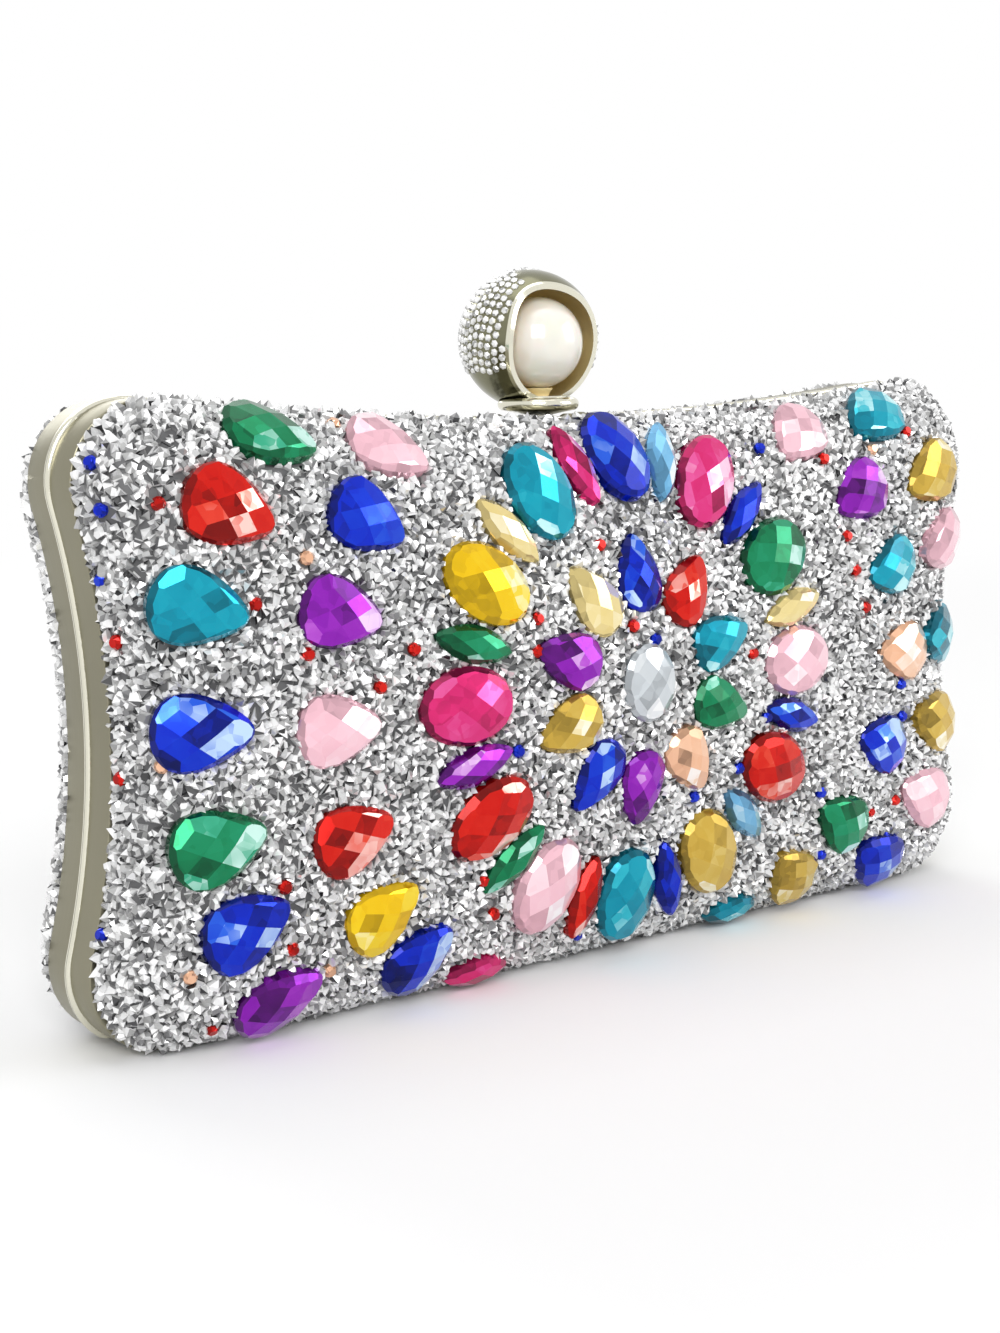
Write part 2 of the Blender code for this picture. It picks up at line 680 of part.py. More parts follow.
def clasp_spring():
    """A torsion spring on the pin: one leg under the bracket, the other over the lever's arm."""
    near = HUB_WIDTH / 2 + FIT_GAP + SPRING_WIRE_RADIUS
    count = SPRING_TURNS * WIRE_STEPS
    points = []
    for i in range(count + 1):
        a = math.pi / 2 + math.tau * i / WIRE_STEPS
        y = CLASP_SETBACK + SPRING_COIL_RADIUS * math.cos(a)
        z = PIVOT_HEIGHT + SPRING_COIL_RADIUS * math.sin(a)
        points.append((near + SPRING_PITCH * (count - i) / WIRE_STEPS, y, z))
    top = points[-1][2]
    under = UNDER_TOP - BRACKET_THICK - FIT_GAP - SPRING_WIRE_RADIUS
    back_leg = (points[0][0], CLASP_SETBACK + SPRING_BACK_LEG, under)
    front = CLASP_SETBACK - SPRING_LEG
    points = [back_leg, *points, (near, front, top), (0.0, front, top)]
    curve = bpy.data.curves.new("clasp_spring", "CURVE")
    curve.dimensions = "3D"
    curve.bevel_depth = SPRING_WIRE_RADIUS
    curve.bevel_resolution = 1
    curve.use_fill_caps = True
    line = curve.splines.new("POLY")
    line.points.add(len(points) - 1)
    pivot = BODY_PIVOTS["back_half"]
    for point, place in zip(line.points, points):
        point.co = (*(Vector(place) - pivot), 1.0)
    made = bpy.data.objects.new("clasp_spring", curve)
    bpy.context.scene.collection.objects.link(made)
    made.parent = BODIES["back_half"]
    made.data.materials.append(material("steel", STEEL))
    return made


def clasp_lever():
    """Hub on the pin, stem and peg up to the pearl, and an arm whose nose hooks over the catch."""
    arm_low = PIVOT_HEIGHT - ARM_THICK / 2
    tip = CLASP_SETBACK - ARM_REACH
    stem_top = FOOT_BASE - FIT_GAP
    peg_top = PEARL_HEIGHT - PEARL_RADIUS + PEG_BITE
    hub, arm, stem, bore = (bmesh.new() for _ in range(4))
    ends = [(s * HUB_WIDTH / 2, CLASP_SETBACK, PIVOT_HEIGHT) for s in (-1, 1)]
    cylinder(hub, ends[0], ends[1], HUB_RADIUS, ROUND_STEPS, "X")
    half = ARM_WIDTH / 2
    nose_low = arm_low - NOSE_DROP
    section = (
        (CLASP_SETBACK - HUB_RADIUS / 2, arm_low),
        (CLASP_SETBACK - HUB_RADIUS / 2, arm_low + ARM_THICK),
        (tip + ARM_THICK / 2, arm_low + ARM_THICK),
        (tip, arm_low + ARM_THICK / 2),
        (tip, nose_low + NOSE_DROP / 2),
        (tip + NOSE_LENGTH / 2, nose_low),
        (tip + NOSE_LENGTH, nose_low),
        (tip + NOSE_LENGTH, arm_low),
    )
    loft(arm, [[Vector((x, y, z)) for y, z in section] for x in (-half, half)])
    profile = (
        (STEM_RADIUS, PIVOT_HEIGHT + HUB_RADIUS / 2),
        (STEM_RADIUS, stem_top),
        (PEG_RADIUS, stem_top),
        (PEG_RADIUS, peg_top),
    )
    turned(stem, profile, (0.0, CLASP_SETBACK, 0.0), PIN_STEPS)
    bore_ends = [(s * (HUB_WIDTH / 2 + OVERRUN), CLASP_SETBACK, PIVOT_HEIGHT) for s in (-1, 1)]
    cylinder(bore, bore_ends[0], bore_ends[1], CLASP_PIN_RADIUS + FIT_GAP / 2, PIN_STEPS, "X")
    made = piece("clasp_lever", hub, "clasp", ("steel", STEEL))
    boolean(made, piece("lever_arm", arm, "clasp"), "UNION")
    boolean(made, piece("lever_stem", stem, "clasp"), "UNION")
    boolean(made, piece("lever_bore", bore, "clasp"))
    return made


def catch_depths():
    """Distances in front of the parting plane of the catch's outer face and of its lip's back face."""
    nose_back = ARM_REACH - NOSE_LENGTH - CLASP_SETBACK
    lip_back = nose_back - FIT_GAP - CATCH_THICK
    outer = BAND_DEPTH - FIT_GAP
    return outer, lip_back


def clasp_catch():
    """A strip hung from the front band's top: it passes under the nose and turns up behind it."""
    outer, lip_back = catch_depths()
    top = UNDER_TOP
    floor = PIVOT_HEIGHT - ARM_THICK / 2 - NOSE_DROP - FIT_GAP
    lip_top = floor + FIT_GAP + LATCH_GRIP
    t = CATCH_THICK
    root = outer - t - 2 * (RIVET_HEAD_RADIUS + FIT_GAP)
    half = CATCH_WIDTH / 2
    section = (
        (-outer, top),
        (-outer, floor - t),
        (-lip_back, floor - t),
        (-lip_back, lip_top),
        (-lip_back - t, lip_top),
        (-lip_back - t, floor),
        (-outer + t, floor),
        (-outer + t, top - t),
        (-root, top - t),
        (-root, top),
    )
    bm = bmesh.new()
    loft(bm, [[Vector((x, y, z)) for y, z in section] for x in (-half, half)])
    made = piece("clasp_catch", bm, "front_half", ("steel", STEEL))
    boolean(made, rivet_holes("catch_rivet_hole", "front_half"))
    return made


def ball_cutter(name, radius):
    """A sphere about the ball's centre."""
    bm = bmesh.new()
    bmesh.ops.create_uvsphere(bm, u_segments=ROUND_STEPS, v_segments=ROUND_STEPS // 2, radius=radius)
    bmesh.ops.translate(bm, verts=bm.verts, vec=(0.0, BALL_Y, BALL_HEIGHT))
    return piece(name, bm, "clasp")


def peg_hole(name):
    """The hole that the peg goes through, from under the foot into the pearl."""
    top = PEARL_HEIGHT - PEARL_RADIUS + PEG_BITE + FIT_GAP
    bm = bmesh.new()
    ends = ((0.0, CLASP_SETBACK, FOOT_BASE - OVERRUN), (0.0, CLASP_SETBACK, top))
    cylinder(bm, ends[0], ends[1], PEG_HOLE_RADIUS, PIN_STEPS, "Z")
    return piece(name, bm, "clasp")


def knob_foot():
    """A dish under the ball, hollowed to seat it and bevelled below so that it can tilt."""
    edge = FOOT_BASE + FOOT_BEVEL
    profile = (
        (FOOT_HUB_RADIUS, FOOT_BASE),
        (FOOT_RADIUS - FOOT_EDGE / 2, edge),
        (FOOT_RADIUS, edge + FOOT_EDGE / 2),
        (FOOT_RADIUS - FOOT_EDGE, edge + FOOT_EDGE),
        (CUP_RADIUS + FOOT_EDGE, edge + FOOT_EDGE * 1.5),
        (CUP_RADIUS, edge + FOOT_EDGE * 2.5),
        (CUP_RADIUS, FOOT_BASE + CUP_RISE),
    )
    bm = bmesh.new()
    turned(bm, profile, (0.0, CLASP_SETBACK, 0.0), ROUND_STEPS)
    made = piece("knob_foot", bm, "clasp", ("bright_silver", BRIGHT_SILVER), math.radians(35))
    boolean(made, ball_cutter("foot_seat", BALL_RADIUS + FIT_GAP))
    boolean(made, peg_hole("foot_hole"))
    return made


def knob_ball():
    """A hollow ball with a round window that faces the front and a little down."""
    inner = BALL_RADIUS - BALL_WALL
    steps = ROUND_STEPS // 2
    outer_end = math.acos(WINDOW_OFFSET / BALL_RADIUS)
    inner_end = math.acos(WINDOW_OFFSET / inner)
    profile = []
    for i in range(steps + 1):
        a = math.pi - (math.pi - outer_end) * i / steps
        profile.append((BALL_RADIUS * math.sin(a) if i else 0.0, -BALL_RADIUS * math.cos(a)))
    for i in range(steps + 1):
        a = inner_end + (math.pi - inner_end) * i / steps
        profile.append((inner * math.sin(a) if i < steps else 0.0, -inner * math.cos(a)))
    bm = bmesh.new()
    turned(bm, profile, (0.0, BALL_Y, BALL_HEIGHT), ROUND_STEPS, "Y")
    tilt = Matrix.Rotation(WINDOW_TILT, 3, "X")
    bmesh.ops.rotate(bm, verts=bm.verts, cent=(0.0, BALL_Y, BALL_HEIGHT), matrix=tilt)
    made = piece("knob_ball", bm, "clasp", ("bright_silver", BRIGHT_SILVER), math.radians(35))
    boolean(made, peg_hole("ball_hole"))
    return made


def pearl_seat():
    """The bead cap between the ball's floor and the pearl."""
    bm = bmesh.new()
    low, high = BALL_HEIGHT - BALL_RADIUS, PEARL_HEIGHT - PEARL_RADIUS / 2
    ends = ((0.0, CLASP_SETBACK, low), (0.0, CLASP_SETBACK, high))
    cylinder(bm, ends[0], ends[1], PEARL_SEAT_RADIUS, ROUND_STEPS, "Z")
    made = piece("pearl_seat", bm, "clasp", ("bright_silver", BRIGHT_SILVER))
    boolean(made, ball_cutter("seat_room", BALL_RADIUS - BALL_WALL - FIT_GAP), "INTERSECT")
    bm = bmesh.new()
    bmesh.ops.create_uvsphere(
        bm, u_segments=ROUND_STEPS, v_segments=ROUND_STEPS // 2, radius=PEARL_RADIUS + FIT_GAP
    )
    bmesh.ops.translate(bm, verts=bm.verts, vec=(0.0, CLASP_SETBACK, PEARL_HEIGHT))
    boolean(made, piece("seat_cup", bm, "clasp"))
    boolean(made, peg_hole("seat_hole"))
    return made


def knob_pearl():
    bm = bmesh.new()
    bmesh.ops.create_uvsphere(
        bm, u_segments=ROUND_STEPS, v_segments=ROUND_STEPS // 2, radius=PEARL_RADIUS
    )
    bmesh.ops.translate(bm, verts=bm.verts, vec=(0.0, CLASP_SETBACK, PEARL_HEIGHT))
    made = piece("knob_pearl", bm, "clasp", ("pearl", PEARL), math.radians(35))
    boolean(made, peg_hole("pearl_hole"))
    return made


def stone_outline(kind, length, width):
    """A stone's outline about its middle, with its length along the first axis and a pear's tip at +."""
    points = []
    for i in range(STONE_STEPS):
        a = math.tau * i / STONE_STEPS
        u, v = math.cos(a), math.sin(a)
        if kind == "navette":
            v *= 1 - NAVETTE_POINT_SHARE * u * u
        elif kind == "pear":
            v *= 1 - PEAR_TAPER_SHARE * (u + 1) / 2
            v /= 1 - PEAR_TAPER_SHARE / 2
        points.append((u * length / 2, v * width / 2))
    return points


def flat_seat(surface, middle, pointing, flat):
    """Where the middle of a flat back comes to rest on the sheet, and which way it faces.

    Rays from in front find the sheet under the middle and under each point of the outline."""
    across = Vector((-pointing.z, 0, pointing.x))
    starts = [middle]
    for share in SEAT_SHARES:
        starts += [middle + (pointing * u + across * v) * share for u, v in flat]
    hits = [surface.ray_cast(start, Vector((0, 1, 0)))[:2] for start in starts]
    hits = [(place, normal if normal.y < 0 else -normal) for place, normal in hits if place]
    facing = sum((normal for _, normal in hits[: 1 + len(flat)]), Vector()).normalized()
    place = hits[0][0]
    rise = max((point - place).dot(facing) for point, _ in hits)
    return place + facing * rise, facing


def stone(bm, surface, kind, size, radius, angle, heading, lift, root):
    """Sets one faceted stone on the crystal sheet, its middle on the given ring of the pattern.

    lift is its gap to the sheet, and root is how far it reaches below its seat. Near the base it slides
    towards the middle until it clears what the case stands on."""
    length, width, height = size
    angle, heading = math.radians(angle), math.radians(heading)
    pointing = Vector((math.cos(angle + heading), 0, math.sin(angle + heading)))
    flat = stone_outline(kind, length, width)
    lowest = -math.inf
    while lowest < STONE_FLOOR:
        x, z = radius * math.cos(angle), PATTERN_HEIGHT + radius * math.sin(angle)
        seat, normal = flat_seat(surface, Vector((x, -CASE_WIDTH, z)), pointing, flat)
        seat += normal * lift
        along = (pointing - normal * pointing.dot(normal)).normalized()
        across = normal.cross(along)
        loops = [[seat - normal * root + along * u + across * v for u, v in flat]]
        for share, rise_share in CROWN_SHARES:
            rise = normal * (STONE_GIRDLE + (height - STONE_GIRDLE) * rise_share)
            loops.append([seat + rise + (along * u + across * v) * share for u, v in flat])
        lowest = min(point.z for loop in loops for point in loop)
        radius -= STONE_STEP
    loops.append([seat + normal * height])
    loft(bm, loops)


def flower():
    """Name, colour and setting of each stone with a solid of its own: the middle one and both rings."""
    stones = [("centre_stone", "clear", "oval", CENTRE_OVAL, 0.0, 90.0)]
    for i, colour in enumerate(INNER_COLOURS):
        angle = 90.0 - 360.0 * i / len(INNER_COLOURS)
        stones.append((f"inner_stone_{i + 1:02d}", colour, "pear", SMALL_PEAR, INNER_RING, angle))
    for i, colour in enumerate(OVAL_COLOURS):
        angle = 90.0 - 360.0 * i / len(OVAL_COLOURS)
        stones.append((f"outer_stone_{i + 1:02d}", colour, "oval", BIG_OVAL, OUTER_RING, angle))
    return stones


def edge_distance(angle):
    """From the pattern's middle to the case's edge in one direction of the front."""
    angle = math.radians(angle)
    way = Vector((math.cos(angle), math.sin(angle)))
    return ring_distance(Vector((0.0, PATTERN_HEIGHT)), way, outline(0.0))


def beyond_flower(angle, share):
    """A radius that lies the given share of the way from the flower to the case's edge."""
    return FLOWER_REACH + (edge_distance(angle) - FLOWER_REACH) * share


def scattered():
    """Kind, size, ring radius, angle and heading of each stone that is one with the crystal sheet."""
    stones = []
    for i in range(len(OVAL_COLOURS)):
        angle = 90.0 - 360.0 * (i + 0.5) / len(OVAL_COLOURS)
        stones.append(("navette", NAVETTE, OUTER_RING, angle, 0.0))
    for size, angles, shares in ((PEAR, NEAR_ANGLES, NEAR_SHARES), (FAR_PEAR, FAR_ANGLES, FAR_SHARES)):
        for angle, share in zip(angles, shares):
            radius = beyond_flower(angle, share)
            stones.append(("pear", size, radius, angle, 180.0))
            stones.append(("pear", size, radius, 180.0 - angle, 180.0))
    radius = beyond_flower(BASE_ANGLE, BASE_SHARE)
    for angle in (BASE_ANGLE, 180.0 - BASE_ANGLE):
        stones.append(("navette", BASE_NAVETTE, radius, angle, -angle))
    return stones


def flower_stones(surface):
    """The flower's stones, each a solid of its own."""
    for name, colour, kind, size, radius, angle in flower():
        bm = bmesh.new()
        stone(bm, surface, kind, size, radius, angle, 0.0, STONE_GAP, 0.0)
        look = (STONE_COLOURS[colour], STONE_ROUGHNESS, 0.0)
        piece(name, bm, "front_half", ("stone_" + colour, look))


def crown_lattice(shoulder, draw):
    """Places inside the shoulder's ring as (plan, share of the way to the ring, whether it is a tip)."""
    spacing = RELIEF_PITCH / math.sqrt(3)
    middle = Vector((0.0, CASE_HEIGHT / 2))
    ring = [Vector(point) for point in shoulder]
    rows = int(CASE_HEIGHT / spacing)
    columns = int(CASE_WIDTH / spacing)
    places = []
    for n in range(-rows, rows + 1):
        for m in range(-columns, columns + 1):
            wander = Vector((draw.uniform(-1, 1), draw.uniform(-1, 1))) * RELIEF_WANDER_SHARE
            offset = (Vector((m + n / 2, n * math.sqrt(3) / 2)) + wander) * spacing
            share = offset.length / ring_distance(middle, offset.normalized(), shoulder)
            place = middle + offset
            clear = min((place - point).length for point in ring) > spacing * RIM_CLEARANCE_SHARE
            if share < 1 and clear:
                places.append((place, share, (m - n) % 3 == 0))
    return places


def relief_dome(body, drop):
    """A crystal sheet's filled dome, with valleys that lie up to drop below its tips."""
    side = side_of(body)
    draw = random.Random(RELIEF_SEED)
    bm = bmesh.new()
    high = shoulder_levels(SHEET_INSET, FIT_GAP, RELIEF_ROWS, RELIEF_STEPS)
    low = shoulder_levels(SHEET_INSET + drop, FIT_GAP, RELIEF_ROWS, RELIEF_STEPS)
    rows = []
    for k, ((ring, height), (deep_ring, deep_height)) in enumerate(zip(high, low)):
        tips = placed(ring, side * (BAND_DEPTH + height))
        valleys = placed(deep_ring, side * (BAND_DEPTH + deep_height))
        row = []
        for i, (tip, valley) in enumerate(zip(tips, valleys)):
            share = 0.0 if (i + k) % 3 == 0 else draw.uniform(*VALLEY_SHARES)
            row.append(bm.verts.new(tip.lerp(valley, share)))
        rows.append(row)
    for lower, upper in zip(rows, rows[1:]):
        for i in range(len(lower)):
            j = (i + 1) % len(lower)
            bm.faces.new((lower[i], lower[j], upper[j]))
            bm.faces.new((lower[i], upper[j], upper[i]))
    bm.faces.new(rows[0])

    shoulder = high[-1][0]
    plan = [Vector(point) for point in shoulder]
    verts = list(rows[-1])
    for place, share, is_tip in crown_lattice(shoulder, draw):
        depth = SHEET_INSET if is_tip else SHEET_INSET + drop * draw.uniform(*VALLEY_SHARES)
        y = side * (BAND_DEPTH + crown_height(depth, share))
        plan.append(place)
        verts.append(bm.verts.new((place.x, y, place.y)))
    found = delaunay_2d_cdt(plan, [], [list(range(len(shoulder)))], 1, WELD_DISTANCE)
    sources = [verts[source[0]] for source in found[3]]
    for face in found[2]:
        bm.faces.new([sources[index] for index in face])
    bm.normal_update()
    return bm


def crystal_sheet(name, body):
    """A filled sheet of crystals, with its relief."""
    return piece(name, relief_dome(body, RELIEF_DROP), body, ("crystals", CRYSTAL))


def hollow(sheet, body, word):
    """Takes what lies behind a filled sheet out of it."""
    inner = SHEET_INSET + SHEET_THICK
    boolean(sheet, dome_block(word + "_sheet_room", body, inner, SKIRT_START, SHEET_RIM))


def front_crystals():
    """The front's sheet of crystals with the scattered stones fused to it. Returns the skin of its tips."""
    sheet = crystal_sheet("front_crystals", "front_half")
    surface = BVHTree.FromBMesh(relief_dome("front_half", 0.0))
    bm = bmesh.new()
    for kind, size, radius, angle, heading in scattered():
        stone(bm, surface, kind, size, radius, angle, heading, 0.0, STONE_ROOT)
    boolean(sheet, piece("scattered_stones", bm, "front_half"), "UNION", crossing=True)
    hollow(sheet, "front_half", "front")
    bm = bmesh.new()
    reach = CASE_WIDTH / 2 + OVERRUN
    box(bm, (-reach, -SHEET_RIM, -OVERRUN), (reach, OVERRUN, CASE_HEIGHT + OVERRUN))
    boolean(sheet, piece("front_sheet_trim", bm, "front_half"))
    return surface


def half_case(body, word):
    """Band, shell and lining of one half."""
    frame = band(word + "_band", body)
    boolean(frame, hinge_relief(word + "_relief", body))
    boolean(frame, hinge_grooves(word + "_grooves", body))
    boolean(frame, bead_flat(word + "_bead_flat", body))
    boolean(frame, rivet_holes(word + "_band_rivet_holes", body))
    half = CATCH_WIDTH if body == "front_half" else BRACKET_LENGTH / 2 + FIT_GAP
    shell = dome_shell(
        word + "_shell", body, SHELL_INSET, SHELL_INSET + SHELL_WALL, SKIRT_START, BAND_DEPTH,
        ("case_plastic", CASE_PLASTIC),
    )
    boolean(shell, leaf_notches(word + "_leaf_notches", body))
    boolean(shell, clasp_notch(word + "_shell_notch", body, half))
    lining = dome_shell(
        word + "_lining", body, LINING_INSET, LINING_INSET + LINING_THICK, LINING_START, BAND_DEPTH,
        ("lining", SATIN),
    )
    boolean(lining, clasp_notch(word + "_lining_notch", body, half))
    return frame


for old in list(bpy.data.objects):
    bpy.data.objects.remove(old)

CASE = axis_empty("case", (0.0, PARTING_Y, 0.0))
BODY_PIVOTS = {
    "back_half": Vector((0.0, 0.0, 0.0)),
    "front_half": Vector((0.0, 0.0, HINGE_HEIGHT)),
    "clasp": Vector((0.0, CLASP_SETBACK, PIVOT_HEIGHT)),
}
BODIES = {
    "back_half": CASE,
    "front_half": axis_empty("hinge_axis", BODY_PIVOTS["front_half"], CASE),
    "clasp": axis_empty("clasp_axis", BODY_PIVOTS["clasp"], CASE),
}

back_band = half_case("back_half", "back")
boolean(back_band, stem_slot("band_slot"))
half_case("front_half", "front")
hollow(crystal_sheet("back_crystals", "back_half"), "back_half", "back")
for word, x in zip(("left", "right"), hinge_places()):
    hinge(word, x)
clasp_bracket()
for word, place in zip(("left", "right"), rivet_places("back_half")):
    rivet("clasp_rivet_" + word, "back_half", place)
clasp_pin()
clasp_spring()
clasp_catch()
rivet("catch_rivet", "front_half", rivet_places("front_half")[0])
clasp_lever()
knob_foot()
knob_ball()
pearl_seat()
knob_pearl()
flower_stones(front_crystals())
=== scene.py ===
"""Looks of the evening clutch: fine bands, crushed crystals, cut stones and the ball clasp."""

import json
import math
import random

import bmesh
import bpy
from mathutils import Matrix, Vector
from mathutils.bvhtree import BVHTree
from mathutils.geometry import intersect_line_line_2d


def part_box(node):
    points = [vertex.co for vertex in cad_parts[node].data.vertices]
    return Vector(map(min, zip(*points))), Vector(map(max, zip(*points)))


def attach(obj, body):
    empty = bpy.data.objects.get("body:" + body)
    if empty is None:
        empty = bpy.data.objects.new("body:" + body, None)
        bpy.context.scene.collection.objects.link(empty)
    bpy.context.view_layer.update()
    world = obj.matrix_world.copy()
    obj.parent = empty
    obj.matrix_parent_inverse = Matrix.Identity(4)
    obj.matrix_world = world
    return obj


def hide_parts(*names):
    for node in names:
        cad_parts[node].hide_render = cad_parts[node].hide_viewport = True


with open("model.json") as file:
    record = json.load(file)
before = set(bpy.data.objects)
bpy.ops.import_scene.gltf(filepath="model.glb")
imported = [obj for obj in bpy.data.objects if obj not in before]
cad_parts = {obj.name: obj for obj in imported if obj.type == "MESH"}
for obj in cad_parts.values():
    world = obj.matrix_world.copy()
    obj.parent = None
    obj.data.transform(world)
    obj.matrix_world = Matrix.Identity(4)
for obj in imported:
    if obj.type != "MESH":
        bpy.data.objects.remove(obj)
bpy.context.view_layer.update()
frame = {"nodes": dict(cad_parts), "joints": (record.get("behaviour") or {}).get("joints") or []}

# Places read from the frame
JOINTS = {joint["name"]: joint for joint in frame["joints"]}
HINGE = Vector(JOINTS["lid_hinge"]["pos_m"])
CLASP_AXIS = Vector(JOINTS["clasp_tilt"]["pos_m"])
OPENING_ANGLE = math.radians(JOINTS["lid_hinge"]["range_deg"][1])
PARTING_Y = HINGE.y
BODY = {-1: "front_half", 1: "back_half"}

# Case outline and domes
BEAD_RISE = 0.0005
CASE_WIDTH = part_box("front_band")[1].x * 2 - 2 * BEAD_RISE
CASE_HEIGHT = 0.1018
CORNER_RADIUS = 0.0130
SIDE_WAIST = 0.0050
TOP_DIP = 0.0050
INNER_CORNER_SHARE = 0.80
INNER_WAIST_SHARE = 0.70
SHOULDER_REACH = 0.0180
SHOULDER_RISE = 0.0133
CROWN_RISE = 0.0056
CROWN_POWER = 1.3

# Bands, sheets and linings
FIT_GAP = 0.0003
BAND_DEPTH = 0.0069
BAND_WALL = 0.0016
FLANGE_REACH = 0.0030
FLANGE_THICK = 0.0012
BEAD_WIDTH = 0.0007
BEAD_GAP = 0.00005
BEAD_FLAT_SHARE = 0.25
FACING_LIMIT = 0.5
SHELL_WALL = 0.0015
LINING_THICK = 0.0008
LINING_SETBACK = 0.0006
KNUCKLE_RADIUS = 0.0019
HINGE_WIDTH = 0.0240
HINGE_SPREAD = 0.1100
STOP_MARGIN = math.radians(1.0)
CUT_OVERRUN = 0.0040

# Clasp
BRACKET_LENGTH = 0.0230
CATCH_WIDTH = 0.0050
STEM_RADIUS = 0.0015
HUB_RADIUS = 0.0016
CLASP_ANGLE = math.radians(7.0)
FOOT_LIFT = 0.0005
FOOT_RADIUS = 0.0074
FOOT_HUB_RADIUS = 0.0024
FOOT_BEVEL = 0.0008
FOOT_EDGE = 0.0023
LEDGE_SHARE = 0.85
CUP_RADIUS = 0.0058
CUP_RISE = 0.0034
BALL_RADIUS = 0.0125
BALL_WALL = 0.0008
BALL_SETBACK = 0.0024
BALL_SEAT = 0.0010
WINDOW_OFFSET = 0.0070
WINDOW_TILT = math.radians(10.0)
PEARL_RADIUS = 0.0082
PEARL_DROP = 0.0006
CUP_LEVELS = ((1.00, 0.0), (0.80, 0.25), (0.74, 0.50), (0.84, 0.75), (1.00, 0.92), (1.00, 1.0))
CORNER_DIRECTION = math.radians(123.0)
CORNER_REACH = math.radians(10.0)
CORNER_POWER = 6
RIM_WIDTH_ANGLE = math.radians(2.5)
PLAIN_DIRECTION = math.radians(72.0)
PLAIN_HALF_ANGLE = math.radians(46.0)
PLAIN_WIDTH_ANGLE = math.radians(38.0)
PLAIN_BLEND = 0.12
PAVE_PITCH = 0.00150
PAVE_RADIUS = 0.00068
PAVE_HEIGHT = 0.00042
PAVE_MARGIN = 0.45
PAVE_FLOOR_SHARE = -0.45
PAVE_SIDES = 6
PAVE_LEVELS = ((1.0, -0.3, 0.0), (1.0, 0.35, 0.0), (0.55, 1.0, 0.0))
# Painted reflections: tones of the pavé's facets, white to grey.
PAVE_SHADES = (1.0, 0.95, 0.90, 0.85, 0.70, 0.45)

# How finely round shapes are cut, and up to which angle in degrees they are smooth
BAND_SMOOTH = 32
PART_SMOOTH = 35
SHEET_SMOOTH = 40
ROUND_SMOOTH = 50
BEAD_STEPS = 6
BEVEL_STEPS = 3
RIM_STEPS = 8
CORNER_STEPS = 16
SIDE_STEPS = 12
TOP_STEPS = 16
BASE_STEPS = 6
SHOULDER_STEPS = 16
CROWN_RINGS = 12
ROUND_STEPS = 64
BEND_STEPS = 40

# Heights and depths that several pieces share
PARTING_GAP = FIT_GAP / 2
SHEET_RIM = BAND_DEPTH + FIT_GAP
SHELL_INSET = BAND_WALL + FIT_GAP
LINING_INSET = SHELL_INSET + SHELL_WALL + FIT_GAP
SKIRT_START = PARTING_GAP + FLANGE_THICK + FIT_GAP
LINING_START = SKIRT_START + LINING_SETBACK
BAND_TOP = CASE_HEIGHT - TOP_DIP
FOOT_BASE = BAND_TOP + FOOT_LIFT
BALL_CENTRE = Vector((0.0, CLASP_AXIS.y + BALL_SETBACK, FOOT_BASE + BALL_RADIUS + BALL_SEAT))
PEARL_CENTRE = Vector((0.0, CLASP_AXIS.y, BALL_CENTRE.z - PEARL_DROP))

# Crushed crystals
CRYSTAL_BED = 0.0010
BED_THICK = 0.0004
CRYSTAL_SPACING = {-1: 0.00108, 1: 0.00122}
CRYSTAL_SIDES = (3, 4, 4, 5, 5, 6)
CRYSTAL_REACH = (0.83, 1.27)
CRYSTAL_HEIGHT = (0.00075, 0.00145)
RIM_ROW = 0.0020
RIM_LIFT = (1.00, 1.30)
TOP_RAISE = 0.0008
CORNER_SHIFT = 0.28
CORNER_REACHES = (0.8, 1.15)
WAIST_REACHES = (0.72, 0.95)
WAIST_RISES = (0.2, 0.5)
WAIST_STEPS = (0.7, 1.3)
TIP_SHIFT = 0.3
BLUNT_SHARE = 0.42
BLUNT_REACHES = (0.35, 0.6)
BLUNT_HEIGHT = 0.85
CRYSTAL_TILT = math.radians(20.0)
CRYSTAL_TRIES = 160000
# Painted reflections: each crystal facet gets a random painted tone from these bounds, black through grey
# to white, by these weights.
CRYSTAL_SHADES = ((0.0, 0.2), (0.25, 0.5), (0.5, 0.75), (0.75, 1.0))
CRYSTAL_WEIGHTS = (9, 26, 31, 34)
GROUND_CLEARANCE = 0.0001
STONE_MARGIN_SHARE = 0.93

# Stones: rings about the middle of the front, and arcs between the outer ring and the case's ends
STONE_DEPTH = 0.0010
CROWN_CURVE = 0.80
CROWN_SHARE = 0.85
# Painted glow: stone facets towards this side are painted lighter, as if light came through the glass.
PAINTED_GLOW_SIDE = Vector((1.0, 0.0, -0.3)).normalized()
PAINTED_GLOW_AMOUNT = 0.20
GEM_CELLS = {"oval": 0.47, "pear": 0.48, "navette": 0.62}
TABLE_REACH = 1.05
GIRDLE_FACETS = {"oval": 22, "pear": 18, "navette": 14}
GIRDLE_SLOPE = (0.80, 0.60)
# Painted shade and highlights: stone facets leaning further than this from the top are painted dark round
# the girdle, and the brightest facet tones are painted highlights.
GIRDLE_LEAN = 0.72
GIRDLE_SHADES = (0.04, 0.32)
FACET_SHADES = ((0.06, 0.25), (0.35, 0.55), (0.50, 0.72), (0.88, 1.0))
FACET_WEIGHTS = (18, 32, 32, 18)
ROUGH_SHARE = 1.2
PEAR_MIDDLE_SHARE = 0.10
CUT_DISTANCE = 1e-7
WELD_DISTANCE = 1e-6
STONE_GIRDLE = 0.0008
STONE_FLOOR = 0.0006
STONE_STEP = 0.0005
PATTERN_HEIGHT = CASE_HEIGHT * 0.505
INNER_RING = CASE_HEIGHT / 2 * 0.369
OUTER_RING = CASE_HEIGHT / 2 * 0.764
INNER_COUNT = 10
OUTER_COUNT = 12
INNER_PITCH = math.tau * INNER_RING / INNER_COUNT
OUTER_PITCH = math.tau * OUTER_RING / OUTER_COUNT
